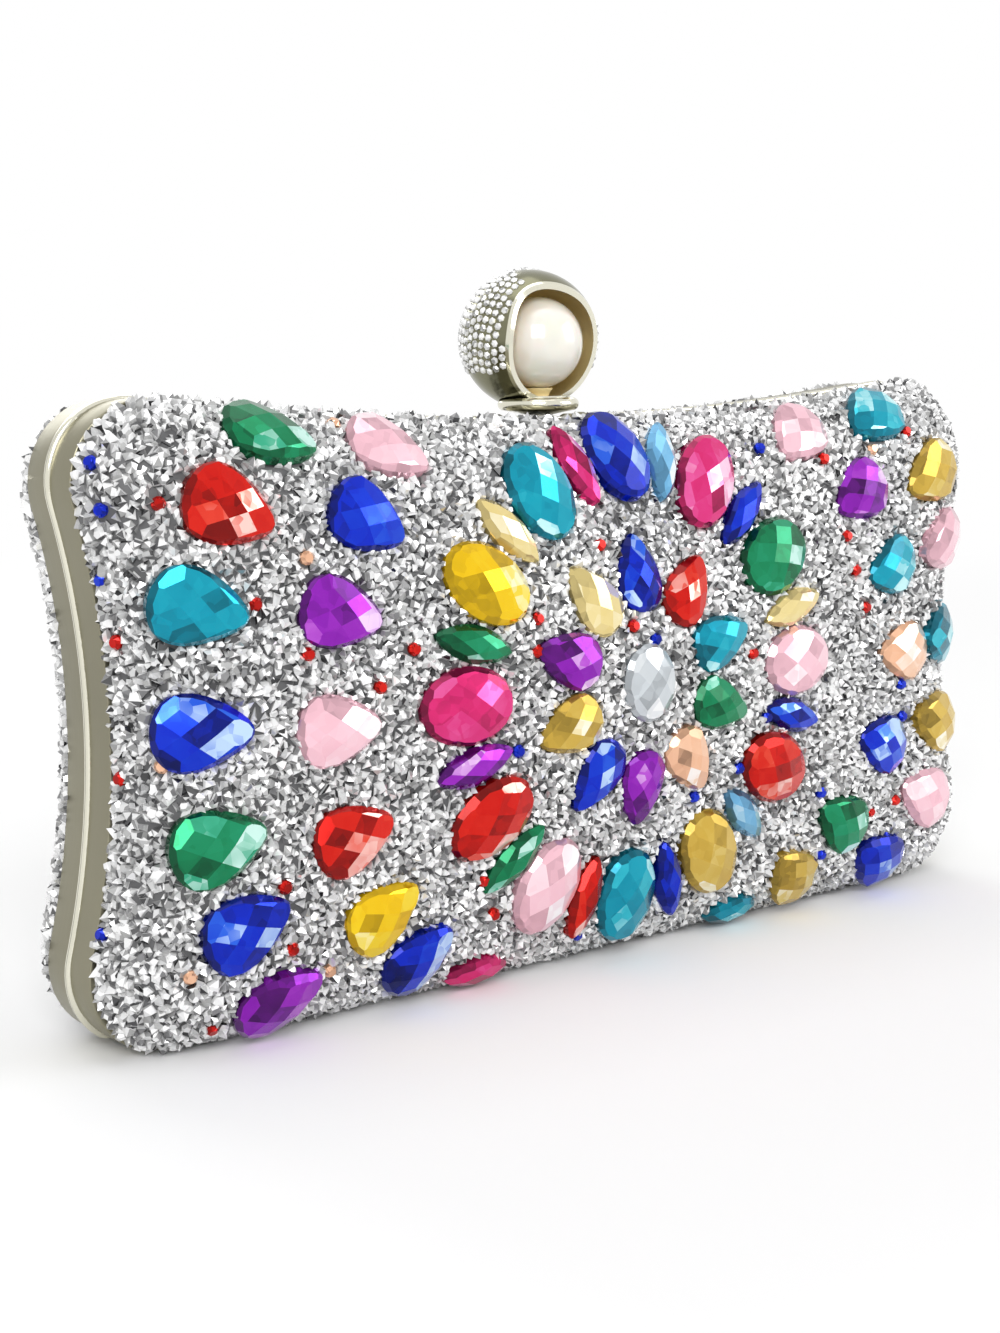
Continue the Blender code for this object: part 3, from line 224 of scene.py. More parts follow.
CENTRE_OVAL = [INNER_PITCH * share for share in (1.17, 1.00, 0.30)]
SMALL_PEAR = [INNER_PITCH * share for share in (1.19, 0.78, 0.29)]
BIG_OVAL = [OUTER_PITCH * share for share in (0.884, 0.648, 0.196)]
NAVETTE = [OUTER_PITCH * share for share in (0.756, 0.314, 0.157)]
BASE_NAVETTE = [OUTER_PITCH * share for share in (0.687, 0.363, 0.147)]
FLOWER_REACH = OUTER_RING + BIG_OVAL[0] / 2
ARC_ROOM = CASE_WIDTH / 2 - SIDE_WAIST - FLOWER_REACH
NEAR_ANGLES = (41.0, 28.0, 14.5, -0.5, -16.5, -31.0, -43.5)
FAR_ANGLES = (32.0, 22.5, 12.5, 0.0, -11.5, -21.5, -31.7)
ROW_PITCH = CASE_HEIGHT / len(NEAR_ANGLES)
PEAR = [ARC_ROOM * 0.318, ROW_PITCH * 0.757, ROW_PITCH * 0.234]
FAR_PEAR = [ARC_ROOM * 0.340, ROW_PITCH * 0.798, ROW_PITCH * 0.248]
NEAR_SHARES = (0.62, 0.30, 0.34, 0.35, 0.30, 0.31, 0.54)
FAR_SHARES = (0.75, 0.67, 0.78, 0.82, 0.76, 0.63, 0.72)
STONE_PIXELS = {
    "near": {
        -1: ((390, 450), (367, 520), (343, 614), (341, 730), (356, 838), (384, 914), (420, 958)),
        1: ((800, 436), (860, 493), (892, 567), (903, 651), (883, 743), (842, 820), (793, 874)),
    },
    "far": {
        -1: ((272, 437), (231, 509), (201, 608), (205, 733), (221, 847), (249, 930), (281, 1000)),
        1: ((875, 418), (932, 474), (948, 545), (950, 645), (945, 725), (925, 795), (878, 857)),
    },
}
BASE_ANGLE = -57.0
BASE_SHARE = 0.65
NAVETTE_POINT_SHARE = 0.35
PEAR_TAPER_SHARE = 0.55
SEAT_SHARES = (0.4, 0.7, 1.0)
STONE_STEPS = 36
SEAT_STEPS = 8

# Colours of the stones, clockwise from the top or from the first row down
INNER_COLOURS = "blue red turquoise green peach purple blue gold purple champagne".split()
OVAL_COLOURS = "blue magenta green pink red gold turquoise pink red magenta yellow turquoise".split()
NAVETTE_COLOURS = (
    "light_blue blue champagne blue light_blue blue red green purple green champagne magenta".split()
)
NEAR_COLOURS = {
    -1: "pink blue purple pink red yellow blue".split(),
    1: "pink purple turquoise peach blue green gold".split(),
}
FAR_COLOURS = {
    -1: "green red turquoise blue green blue purple".split(),
    1: "turquoise gold pink turquoise gold pink blue".split(),
}
BASE_COLOURS = {-1: ["magenta"], 1: ["turquoise"]}
STONE_COLOURS = {
    "blue": (0.001, 0.020, 0.530),
    "turquoise": (0.002, 0.280, 0.400),
    "light_blue": (0.150, 0.410, 0.660),
    "green": (0.004, 0.205, 0.078),
    "red": (0.590, 0.006, 0.002),
    "purple": (0.250, 0.010, 0.430),
    "magenta": (0.640, 0.018, 0.150),
    "pink": (0.880, 0.520, 0.600),
    "peach": (0.840, 0.480, 0.300),
    "gold": (0.580, 0.380, 0.055),
    "champagne": (0.760, 0.610, 0.250),
    "yellow": (0.830, 0.520, 0.004),
    "clear": (0.560, 0.600, 0.630),
}
LUMINANCE = (0.21, 0.72, 0.07)
# How deep the painted-shade and middle facets of a stone are, by the colour's brightness.
DEEP_TONE = 0.06
DEEP_GAIN = 0.55
MIDDLE_TONE = 0.38
MIDDLE_GAIN = 0.60
# Share of painted reflection from the facets behind, mixed into each stone facet's tone.
PAINTED_REFLECTION_SHARE = 0.16
BUMP_DEPTH = 0.0001

# Camera, as found from the photograph's outline, parting line and stones
PHOTO_SIZE = (1000, 1333)
FOCAL_PIXELS = 2078
SENSOR = 36.0
CLIP_START = 0.01
CAMERA_PLACE = Vector((-0.24496, -0.28360, 0.10580))
CAMERA_YAW = math.radians(39.1)
CAMERA_PITCH = math.radians(-8.18)
CAMERA_ROLL = math.radians(-0.65)

# Small round stones among the crystals, by their pixels in the photograph
ACCENT_RADIUS = 0.00115
ACCENT_HEIGHT = 0.0012
ACCENT_DEPTH = 0.0008
ACCENT_SIDES = 12
ACCENT_LEVELS = ((1.0, -0.4, 0.0), (1.0, 0.35, 0.0), (0.62, 0.85, math.pi / 12))
ACCENT_SHADES = (0.12, 0.50)
ACCENT_PIXELS = {
    "red": (
        (158, 504), (255, 604), (117, 642), (308, 654), (414, 649), (380, 687), (599, 545), (623, 558),
        (633, 626), (537, 619), (537, 651), (752, 653), (865, 607), (846, 536), (855, 570), (121, 779),
        (211, 1028), (292, 949), (285, 887), (493, 914), (483, 880), (894, 800), (869, 811), (931, 700),
        (823, 459), (905, 432),
    ),
    "blue": (
        (91, 463), (101, 510), (102, 580), (103, 935), (518, 751), (759, 449), (766, 717), (738, 768),
        (693, 796), (820, 792), (900, 684), (901, 716), (820, 854), (884, 836), (576, 934), (655, 639),
    ),
    "peach": ((306, 558), (333, 425), (190, 977), (329, 970), (162, 766), (871, 450)),
}

# Seeds of the random draws
PAVE_SEED = 5
STONE_SEED = 7
ACCENT_SEED = 11
CRYSTAL_SEED = 21

# Floor and light. Each lamp has a name, its place, what it looks at, its size and its power.
FLOOR_RADIUS = 6.0
FLOOR_STEPS = 96
FLOOR_COLOUR = (0.93, 0.93, 0.93, 1.0)
FLOOR_FADE = (0.25, 0.9)
FLOOR_DEPTH = 0.030
FLOOR_FREE = (0.70, 0.95)
PROBE_SAMPLES = 8
AMBIENT = 0.45
LAMPS = (
    ("key", (-0.9, -1.1, 0.85), (0.0, 0.0, 0.05), (0.9, 0.9), 16.5),
    ("fill", (1.2, -1.0, 0.6), (0.0, 0.0, 0.05), (0.9, 0.9), 8.0),
    ("top", (0.0, 0.1, 1.5), (0.0, 0.0, 0.0), (1.2, 1.2), 5.0),
    ("back", (0.3, 1.4, 0.8), (0.0, 0.0, 0.05), (1.0, 0.8), 7.0),
)

# CAD nodes that stay, by their material
NODE_LOOKS = {
    "steel": (
        "back_hinge_leaf_left", "back_hinge_leaf_right", "front_hinge_leaf_left", "front_hinge_leaf_right",
        "hinge_pin_left", "hinge_pin_right", "clasp_bracket", "clasp_pin", "clasp_spring", "clasp_catch",
        "clasp_lever",
    ),
    "satin": ("clasp_rivet_left", "clasp_rivet_right", "catch_rivet"),
    "plastic": ("front_shell", "back_shell"),
}


def arc(centre, radius, start, end, steps):
    """Points along an arc of the X-Z plane, with both its ends."""
    points = []
    for i in range(steps + 1):
        a = start + (end - start) * i / steps
        points.append((centre[0] + radius * math.cos(a), centre[1] + radius * math.sin(a)))
    return points


def direction(start, end):
    return math.atan2(end[1] - start[1], end[0] - start[0]) % math.tau


def outline(inset):
    """The case's outline, drawn in by inset: round corners, waisted sides, a dipped top, a flat base."""
    share = max(inset, 0.0) / SHOULDER_REACH
    radius = CORNER_RADIUS * (1 - (1 - INNER_CORNER_SHARE) * share)
    slack = 1 - (1 - INNER_WAIST_SHARE) * share
    waist, dip = SIDE_WAIST * slack, TOP_DIP * slack
    low, high = inset, CASE_HEIGHT - inset
    right, top = CASE_WIDTH / 2 - inset - radius, high - radius
    middle, half = (low + high) / 2, (high - low) / 2 - radius
    side_radius = (half**2 + (radius - waist) ** 2 - radius**2) / (2 * waist)
    top_radius = (right**2 + (radius - dip) ** 2 - radius**2) / (2 * dip)
    side = (CASE_WIDTH / 2 - inset - waist + side_radius, middle)
    above = (0.0, high - dip + top_radius)
    upper, lower = (right, top), (right, low + radius)
    side_up, side_down = direction(side, upper), direction(side, lower)
    top_angle = direction(above, upper)

    high_quarter = arc(side, side_radius, math.pi, side_up, SIDE_STEPS)
    high_quarter += arc(upper, radius, side_up - math.pi, top_angle - math.pi, CORNER_STEPS)[1:]
    high_quarter += arc(above, top_radius, top_angle, 1.5 * math.pi, TOP_STEPS)[1:]
    low_quarter = arc(side, side_radius, math.pi, side_down, SIDE_STEPS)
    low_quarter += arc(lower, radius, side_down - math.pi, -math.pi / 2, CORNER_STEPS)[1:]
    low_quarter += [(right * (1 - i / BASE_STEPS), low) for i in range(1, BASE_STEPS + 1)]
    left_high = [(-x, z) for x, z in reversed(high_quarter[:-1])]
    left_low = [(-x, z) for x, z in low_quarter[1:]]
    return high_quarter + left_high + left_low + low_quarter[-2:0:-1]


def dome_levels(depth, start):
    """Outline and height of each level of a dome that lies depth inside the case's outer surface."""
    reach, rise = SHOULDER_REACH - depth, SHOULDER_RISE - depth
    levels = [(outline(depth), start)]
    for i in range(1, SHOULDER_STEPS + 1):
        a = math.pi / 2 * i / SHOULDER_STEPS
        levels.append((outline(SHOULDER_REACH - reach * math.cos(a)), rise * math.sin(a)))
    shoulder = levels[-1][0]
    middle = CASE_HEIGHT / 2
    for i in range(1, CROWN_RINGS + 1):
        s = 1 - i / (CROWN_RINGS + 1)
        ring = [(x * s, middle + (z - middle) * s) for x, z in shoulder]
        levels.append((ring, rise + CROWN_RISE * (1 - s * s) ** CROWN_POWER))
    levels.append(([(0.0, middle)], rise + CROWN_RISE))
    return levels


def placed(ring, y):
    """A ring of the outline's plane at a distance y from the parting plane."""
    return [Vector((x, PARTING_Y + y, z)) for x, z in ring]


def dome_skin(side, depth, start, rim):
    """Loops of a dome's surface, from the edge of its skirt to its middle."""
    levels = dome_levels(depth, rim - BAND_DEPTH)
    skin = [placed(ring, side * (BAND_DEPTH + height)) for ring, height in levels]
    if start < rim:
        skin.insert(0, placed(outline(depth), side * start))
    return skin


def circle(centre, radius, steps, axis="Z"):
    first, second = {"X": ("y", "z"), "Z": ("x", "y")}[axis]
    ring = []
    for i in range(steps):
        a = math.tau * i / steps
        point = Vector(centre)
        setattr(point, first, getattr(point, first) + radius * math.cos(a))
        setattr(point, second, getattr(point, second) + radius * math.sin(a))
        ring.append(point)
    return ring


def bridge(bm, first, second):
    """Faces between two closed loops of vertices, or between a loop and one point."""
    if len(first) == 1:
        first, second = second, first
    if len(first) == 1:
        return []
    faces = []
    for i in range(len(first)):
        j = (i + 1) % len(first)
        far = (second[0],) if len(second) == 1 else (second[j], second[i])
        faces.append(bm.faces.new((first[i], first[j], *far)))
    return faces


def loft(bm, loops, ring=False):
    """Skins a list of loops into bm. The ends are capped or, with ring, joined to each other."""
    verts = [[bm.verts.new(point) for point in loop] for loop in loops]
    for first, second in zip(verts, verts[1:]):
        bridge(bm, first, second)
    if ring:
        bridge(bm, verts[-1], verts[0])
        return
    for end in (verts[0], verts[-1]):
        if len(end) > 2:
            bm.faces.new(end)


def turned(bm, profile, x, y):
    """A solid turned about an upright axis, from (radius, height) points."""
    loft(bm, [circle((x, y, z), radius, ROUND_STEPS) for radius, z in profile])


def box(bm, low, high):
    corners = [(low[0], low[1]), (high[0], low[1]), (high[0], high[1]), (low[0], high[1])]
    loft(bm, [[Vector((x, y, z)) for x, y in corners] for z in (low[2], high[2])])


def linked_object(name, bm):
    mesh = bpy.data.meshes.new(name)
    bm.to_mesh(mesh)
    bm.free()
    made = bpy.data.objects.new(name, mesh)
    bpy.context.scene.collection.objects.link(made)
    return made


def soften(mesh, angle):
    """Smooth shading, with edges sharper than the angle kept."""
    mesh.shade_smooth()
    mesh.set_sharp_from_angle(angle=math.radians(angle))


def new_object(name, bm, smooth=None):
    bmesh.ops.recalc_face_normals(bm, faces=bm.faces)
    made = linked_object(name, bm)
    if smooth:
        soften(made.data, smooth)
    return made


def add_sphere(bm, radius, centre):
    bmesh.ops.create_uvsphere(bm, u_segments=ROUND_STEPS, v_segments=ROUND_STEPS // 2, radius=radius)
    bmesh.ops.translate(bm, verts=bm.verts, vec=centre)


def cut(target, bm):
    """Takes bm's shape out of target's mesh for good."""
    cutter = new_object("cutter", bm)
    step = target.modifiers.new("cut", "BOOLEAN")
    step.operation = "DIFFERENCE"
    step.object = cutter
    step.solver = "EXACT"
    bpy.context.view_layer.update()
    graph = bpy.context.evaluated_depsgraph_get()
    result = bpy.data.meshes.new_from_object(target.evaluated_get(graph))
    target.modifiers.clear()
    target.data = result
    bpy.data.objects.remove(cutter)


def finish_piece(made, body, materials, replaced):
    """Gives a piece its looks, and puts it on a body in place of a CAD node."""
    for key in materials:
        made.data.materials.append(MATERIALS[key])
    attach(made, body)
    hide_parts(replaced)


class Nodes:
    """Shorthands for a node tree."""

    def __init__(self, tree):
        self.tree = tree

    def node(self, kind, *sources, **values):
        """A node with its first inputs linked to sources, and with inputs or settings by name."""
        made = self.tree.nodes.new(kind)
        for key, value in values.items():
            if key in made.inputs:
                made.inputs[key].default_value = value
            else:
                setattr(made, key, value)
        for i, source in enumerate(sources):
            self.link(source, made, i)
        return made

    def link(self, source, target, socket):
        self.tree.links.new(source, target.inputs[socket])

    def combined(self, operation, first, second, clamp=False):
        """A math node's output, from a socket and another socket or a number."""
        made = self.node("ShaderNodeMath", first, operation=operation, use_clamp=clamp)
        if isinstance(second, float):
            made.inputs[1].default_value = second
        else:
            self.link(second, made, 1)
        return made.outputs[0]

    def scaled(self, source, low, high, start=0.0, end=1.0, **settings):
        """Maps start..end to low..high."""
        values = {"From Min": start, "From Max": end, "To Min": low, "To Max": high}
        return self.node("ShaderNodeMapRange", source, **values, **settings).outputs[0]

    def mixed(self, first, second, share=None):
        """A mix of two numbers, with its share left open when none is given."""
        made = self.node("ShaderNodeMix", data_type="FLOAT")
        if share is not None:
            made.inputs[0].default_value = share
        self.link(first, made, 2)
        self.link(second, made, 3)
        return made


class Look(Nodes):
    """A node-based material with one Principled shader."""

    def __init__(self, name, roughness, metallic):
        self.material = bpy.data.materials.new(name)
        self.material.use_nodes = True
        super().__init__(self.material.node_tree)
        self.shader = self.tree.nodes["Principled BSDF"]
        self.set("Roughness", roughness)
        self.set("Metallic", metallic)

    def set(self, socket, value):
        self.shader.inputs[socket].default_value = value

    def coordinates(self):
        return self.node("ShaderNodeTexCoord").outputs["Object"]

    def noise(self, scale, detail=2.0, stretch=None):
        """Noise in object space, with stretch as a scale for each axis."""
        source = self.coordinates()
        if stretch:
            source = self.node("ShaderNodeMapping", source, Scale=stretch).outputs[0]
        return self.node("ShaderNodeTexNoise", source, Scale=scale, Detail=detail).outputs[0]

    def colour(self, source, stops):
        """Colours the shader by a ramp, whose stops hold (position, colour)."""
        ramp = self.node("ShaderNodeValToRGB", source)
        while len(ramp.color_ramp.elements) < len(stops):
            ramp.color_ramp.elements.new(0.5)
        for element, (position, colour) in zip(ramp.color_ramp.elements, stops):
            element.position = position
            element.color = (*colour, 1.0)
        self.link(ramp.outputs[0], self.shader, "Base Color")

    def roughness(self, source, low, high):
        self.link(self.scaled(source, low, high), self.shader, "Roughness")

    def bump(self, source, strength):
        bump = self.node("ShaderNodeBump", Strength=strength, Distance=BUMP_DEPTH)
        self.link(source, bump, "Height")
        self.link(bump.outputs[0], self.shader, "Normal")


def tinted(colour, amount):
    return tuple(min(1.0, channel * amount) for channel in colour)


def glowing(colour, amount):
    """A brighter tone of a colour for the painted light of lit facets: its weak channels rise most, as
    where light shines through glass.
    """
    return tuple(channel ** (1.0 - amount) for channel in colour)


def metal_look(name, colour, roughness, grain=900.0, stretch=None, bump=0.05):
    """Metal with fine grain and soft patches of tone."""
    look = Look(name, roughness, 1.0)
    look.colour(look.noise(30.0), ((0.35, tinted(colour, 0.93)), (0.65, tinted(colour, 1.05))))
    grains = look.noise(grain, 3.0, stretch)
    look.roughness(grains, roughness * 0.85, roughness * 1.2)
    look.bump(grains, bump)
    return look.material


def plastic_look(name, colour, roughness):
    look = Look(name, roughness, 0.0)
    look.colour(look.noise(60.0), ((0.3, tinted(colour, 0.9)), (0.7, tinted(colour, 1.1))))
    look.bump(look.noise(2500.0, 3.0), 0.15)
    return look.material


def satin_look(name, colour):
    """Woven satin: long floats across a fine warp."""
    look = Look(name, 0.42, 0.0)
    look.set("Sheen Weight", 0.5)
    look.set("Sheen Roughness", 0.35)
    floats = look.noise(700.0, 2.0, (0.25, 3.0, 3.0))
    look.colour(floats, ((0.35, tinted(colour, 0.88)), (0.65, tinted(colour, 1.1))))
    look.roughness(floats, 0.34, 0.5)
    look.bump(floats, 0.25)
    return look.material


def pearl_look(name):
    """Nacre: warm white with faint rose and green clouds under a clear surface."""
    look = Look(name, 0.18, 0.0)
    look.set("Coat Weight", 1.0)
    look.set("Coat Roughness", 0.10)
    look.set("Subsurface Weight", 0.15)
    look.set("Subsurface Scale", 0.002)
    stops = ((0.3, (0.74, 0.67, 0.59)), (0.5, (0.80, 0.77, 0.70)), (0.7, (0.74, 0.74, 0.65)))
    look.colour(look.noise(140.0, 1.0), stops)
    return look.material


def satin_gilt(name):
    """Gilding on a matt ground, as inside the ball."""
    look = Look(name, 0.40, 0.15)
    look.colour(look.noise(90.0), ((0.3, (0.82, 0.66, 0.31)), (0.7, (0.94, 0.80, 0.46))))
    look.bump(look.noise(1500.0, 3.0), 0.05)
    return look.material


def crystal_look(name):
    """Crushed glass over foil: white, grey and a few black facets, each tone a painted reflection given by
    the facet's own shade value.
    """
    look = Look(name, 0.12, 0.25)
    look.set("Coat Weight", 0.4)
    look.set("Coat Roughness", 0.03)
    shade = look.node("ShaderNodeAttribute", attribute_name="shade").outputs["Fac"]
    look.colour(shade, (
        (0.00, (0.010, 0.010, 0.012)), (0.15, (0.050, 0.050, 0.052)), (0.30, (0.200, 0.200, 0.205)),
        (0.48, (0.380, 0.380, 0.375)), (0.64, (0.600, 0.602, 0.605)), (0.80, (0.820, 0.820, 0.820)),
        (1.00, (0.950, 0.950, 0.950)),
    ))
    return look.material


def stone_look(name, colour):
    """Foil-backed glass with painted light: each facet's painted shade sets its depth of one hue, from
    painted shade to a painted glow, clouded a little by a painted reflection of the facets behind.
    """
    look = Look(name, 0.10, 0.6)
    look.set("Specular IOR Level", 0.2)
    look.set("Coat Weight", 0.18)
    look.set("Coat Roughness", 0.02)
    source = look.node("ShaderNodeAttribute", attribute_name="shade").outputs["Fac"]
    cells = look.node("ShaderNodeTexVoronoi", look.coordinates(), Scale=520.0)
    for other in (look.noise(260.0, 1.0), cells.outputs["Color"]):
        source = look.mixed(source, other, PAINTED_REFLECTION_SHARE).outputs[0]
    brightness = Vector(colour).dot(LUMINANCE)
    deep = DEEP_TONE + DEEP_GAIN * brightness
    middle = MIDDLE_TONE + MIDDLE_GAIN * brightness
    look.colour(source, (
        (0.04, tinted(colour, deep)), (0.24, tinted(colour, middle)), (0.42, colour),
        (0.60, glowing(colour, 0.18)), (0.74, glowing(colour, 0.45)), (0.88, glowing(colour, 0.90)),
    ))
    return look.material


MATERIALS = {
    "satin": metal_look("satin_silver", (0.27, 0.255, 0.185), 0.38, 1400.0, (0.2, 3.0, 0.2)),
    "bright": metal_look("bright_silver", (0.74, 0.72, 0.60), 0.13, bump=0.02),
    # Painted shade and painted dark reflection: a darker copy of the silver for the ball's outside beyond
    # its rim.
    "painted_dark": metal_look("painted_dark_silver", (0.20, 0.195, 0.125), 0.20, bump=0.02),
    "gilt": satin_gilt("gilt_inside"),
    "steel": metal_look("steel", (0.50, 0.50, 0.50), 0.30),
    "plastic": plastic_look("case_plastic", (0.16, 0.16, 0.17), 0.6),
    # The crystal bed's dark grey is partly its own colour and partly painted shade deep in the gaps between
    # the crystals.
    "bed": plastic_look("crystal_bed", (0.09, 0.09, 0.093), 0.5),
    "lining": satin_look("lining_satin", (0.55, 0.53, 0.50)),
    "pearl": pearl_look("pearl_nacre"),
    "crystal": crystal_look("crushed_crystal"),
}
for colour_name, rgb in STONE_COLOURS.items():
    MATERIALS[colour_name] = stone_look("cut_" + colour_name, rgb)


def band_section():
    """The band's section as (inset, distance from the parting plane), with round bead and outer edge."""
    flange = PARTING_GAP + FLANGE_THICK
    bevel = BEAD_RISE / 2
    flat = BEAD_GAP + BEAD_WIDTH * BEAD_FLAT_SHARE
    round_width = BEAD_WIDTH * (1 - BEAD_FLAT_SHARE)
    section = [(-BEAD_RISE, BEAD_GAP)]
    for i in range(BEAD_STEPS + 1):
        a = math.pi / 2 * i / BEAD_STEPS
        section.append((-BEAD_RISE * math.cos(a), flat + round_width * math.sin(a)))
    for i in range(BEVEL_STEPS + 1):
        a = math.pi / 2 * i / BEVEL_STEPS
        section.append((bevel - bevel * math.cos(a), BAND_DEPTH - bevel + bevel * math.sin(a)))
    inner = [(BAND_WALL, BAND_DEPTH), (BAND_WALL, flange), (FLANGE_REACH, flange), (FLANGE_REACH, BEAD_GAP)]
    return section + inner


def hinge_cuts():
    """The wedge under the hinge axis and the knuckles' grooves."""
    wedge, grooves = bmesh.new(), bmesh.new()
    drop = HINGE.z + CUT_OVERRUN
    reach = drop * math.tan(OPENING_ANGLE / 2 + STOP_MARGIN)
    section = ((0.0, HINGE.z + PARTING_GAP), (-reach, -CUT_OVERRUN), (reach, -CUT_OVERRUN))
    end = CASE_WIDTH / 2 + CUT_OVERRUN
    loft(wedge, [[Vector((x, PARTING_Y + y, z)) for y, z in section] for x in (-end, end)])
    half = HINGE_WIDTH / 2 + FIT_GAP
    for x in (-HINGE_SPREAD / 2, HINGE_SPREAD / 2):
        loft(grooves, [
            circle((x + s * half, HINGE.y, HINGE.z), KNUCKLE_RADIUS + FIT_GAP, ROUND_STEPS // 2, "X")
            for s in (-1, 1)
        ])
    return wedge, grooves


def make_band(side, name, node):
    """A band with its flange, cut for the hinges, the clasp's foot and, behind, the lever's stem."""
    bm = bmesh.new()
    loft(bm, [placed(outline(inset), side * y) for inset, y in band_section()], ring=True)
    made = new_object(name, bm)
    for cutter in hinge_cuts():
        cut(made, cutter)
    flat = bmesh.new()
    half = FOOT_RADIUS + 2 * FIT_GAP
    near, far = sorted((-side * CUT_OVERRUN, side * BAND_DEPTH / 2))
    low = (-half, PARTING_Y + near, BAND_TOP + FIT_GAP / 4)
    box(flat, low, (half, PARTING_Y + far, CASE_HEIGHT + CUT_OVERRUN))
    cut(made, flat)
    if side > 0:
        slot = bmesh.new()
        half = STEM_RADIUS + FIT_GAP
        travel = (BAND_TOP - CLASP_AXIS.z + FIT_GAP) * math.sin(CLASP_ANGLE)
        low = (-half, CLASP_AXIS.y - half, CLASP_AXIS.z + HUB_RADIUS)
        box(slot, low, (half, CLASP_AXIS.y + half + travel, CASE_HEIGHT))
        cut(made, slot)
    soften(made.data, BAND_SMOOTH)
    finish_piece(made, BODY[side], ("satin", "bright"), node)
    bead_end = BEAD_GAP + BEAD_WIDTH
    for face in made.data.polygons:
        bright = abs(face.center.y - PARTING_Y) < bead_end and face.normal.y * side > -FACING_LIMIT
        face.material_index = 1 if bright else 0


def dome_sheet(side, name, depth, thick, start, rim):
    loops = dome_skin(side, depth, start, rim) + dome_skin(side, depth + thick, start, rim)[::-1]
    bm = bmesh.new()
    loft(bm, loops, ring=True)
    return new_object(name, bm, SHEET_SMOOTH)


def make_lining(side, name, node):
    """Satin glued into the shell, with its notch for the clasp."""
    made = dome_sheet(side, name, LINING_INSET, LINING_THICK, LINING_START, BAND_DEPTH)
    notch = bmesh.new()
    half = CATCH_WIDTH if side < 0 else BRACKET_LENGTH / 2 + FIT_GAP
    near, far = sorted((0.0, side * (BAND_DEPTH + FIT_GAP / 2)))
    low = (-half, PARTING_Y + near, CLASP_AXIS.z - HUB_RADIUS - CUT_OVERRUN)
    box(notch, low, (half, PARTING_Y + far, CASE_HEIGHT))
    cut(made, notch)
    finish_piece(made, BODY[side], ("lining",), node)


def skin_tree(side, depth):
    """A dome's surface for rays, with its triangles for scattering."""
    bm = bmesh.new()
    loops = dome_skin(side, depth, SHEET_RIM, SHEET_RIM)
    verts = [[bm.verts.new(point) for point in loop] for loop in loops]
    for first, second in zip(verts, verts[1:]):
        bridge(bm, first, second)
    bmesh.ops.triangulate(bm, faces=bm.faces)
    bmesh.ops.recalc_face_normals(bm, faces=bm.faces)
    tree = BVHTree.FromBMesh(bm)
    triangles = [tuple(vert.co.copy() for vert in face.verts) for face in bm.faces]
    bm.free()
    return tree, triangles


def camera_axes():
    """The camera's right, up and forward directions."""
    forward = Vector((
        math.sin(CAMERA_YAW) * math.cos(CAMERA_PITCH),
        math.cos(CAMERA_YAW) * math.cos(CAMERA_PITCH),
        math.sin(CAMERA_PITCH),
    ))
    right = Vector((math.cos(CAMERA_YAW), -math.sin(CAMERA_YAW), 0.0))
    up = right.cross(forward)
    cos, sin = math.cos(CAMERA_ROLL), math.sin(CAMERA_ROLL)
    return right * cos + up * sin, up * cos - right * sin, forward


def pixel_ray(pixel):
    right, up, forward = camera_axes()
    x = (pixel[0] - PHOTO_SIZE[0] / 2) / FOCAL_PIXELS
    y = (PHOTO_SIZE[1] / 2 - pixel[1]) / FOCAL_PIXELS
    return (forward + right * x + up * y).normalized()


def stone_outline(kind, length, width, steps):
    """A stone's outline about its middle, with its length along the first axis and a pear's tip at +."""
    points = []
    for i in range(steps):
        a = math.tau * i / steps
        u, v = math.cos(a), math.sin(a)
        if kind == "navette":
            v *= 1 - NAVETTE_POINT_SHARE * u * u
        elif kind == "pear":
            v *= 1 - PEAR_TAPER_SHARE * (u + 1) / 2
            v /= 1 - PEAR_TAPER_SHARE / 2
        points.append((u * length / 2, v * width / 2))
    return points


def flat_seat(surface, middle, pointing, flat):
    """Where the middle of a flat back comes to rest on the sheet, and which way it faces."""
    across = Vector((-pointing.z, 0, pointing.x))
    starts = [middle]
    for share in SEAT_SHARES:
        starts += [middle + (pointing * u + across * v) * share for u, v in flat]
    hits = [surface.ray_cast(start, Vector((0, 1, 0)))[:2] for start in starts]
    hits = [(place, normal if normal.y < 0 else -normal) for place, normal in hits if place]
    facing = sum((normal for _, normal in hits[: 1 + len(flat)]), Vector()).normalized()
    place = hits[0][0]
    rise = max((point - place).dot(facing) for point, _ in hits)
    return place + facing * rise, facing


def edge_distance(angle):
    """From the pattern's middle to the case's edge in one direction of the front."""
    middle = Vector((0.0, PATTERN_HEIGHT))
    far = middle + Vector((math.cos(angle), math.sin(angle))) * CASE_WIDTH
    ring = [Vector(point) for point in outline(0.0)]
    crossings = (
        intersect_line_line_2d(middle, far, start, end) for start, end in zip(ring, ring[1:] + ring[:1])
    )
    return max((crossing - middle).length for crossing in crossings if crossing)


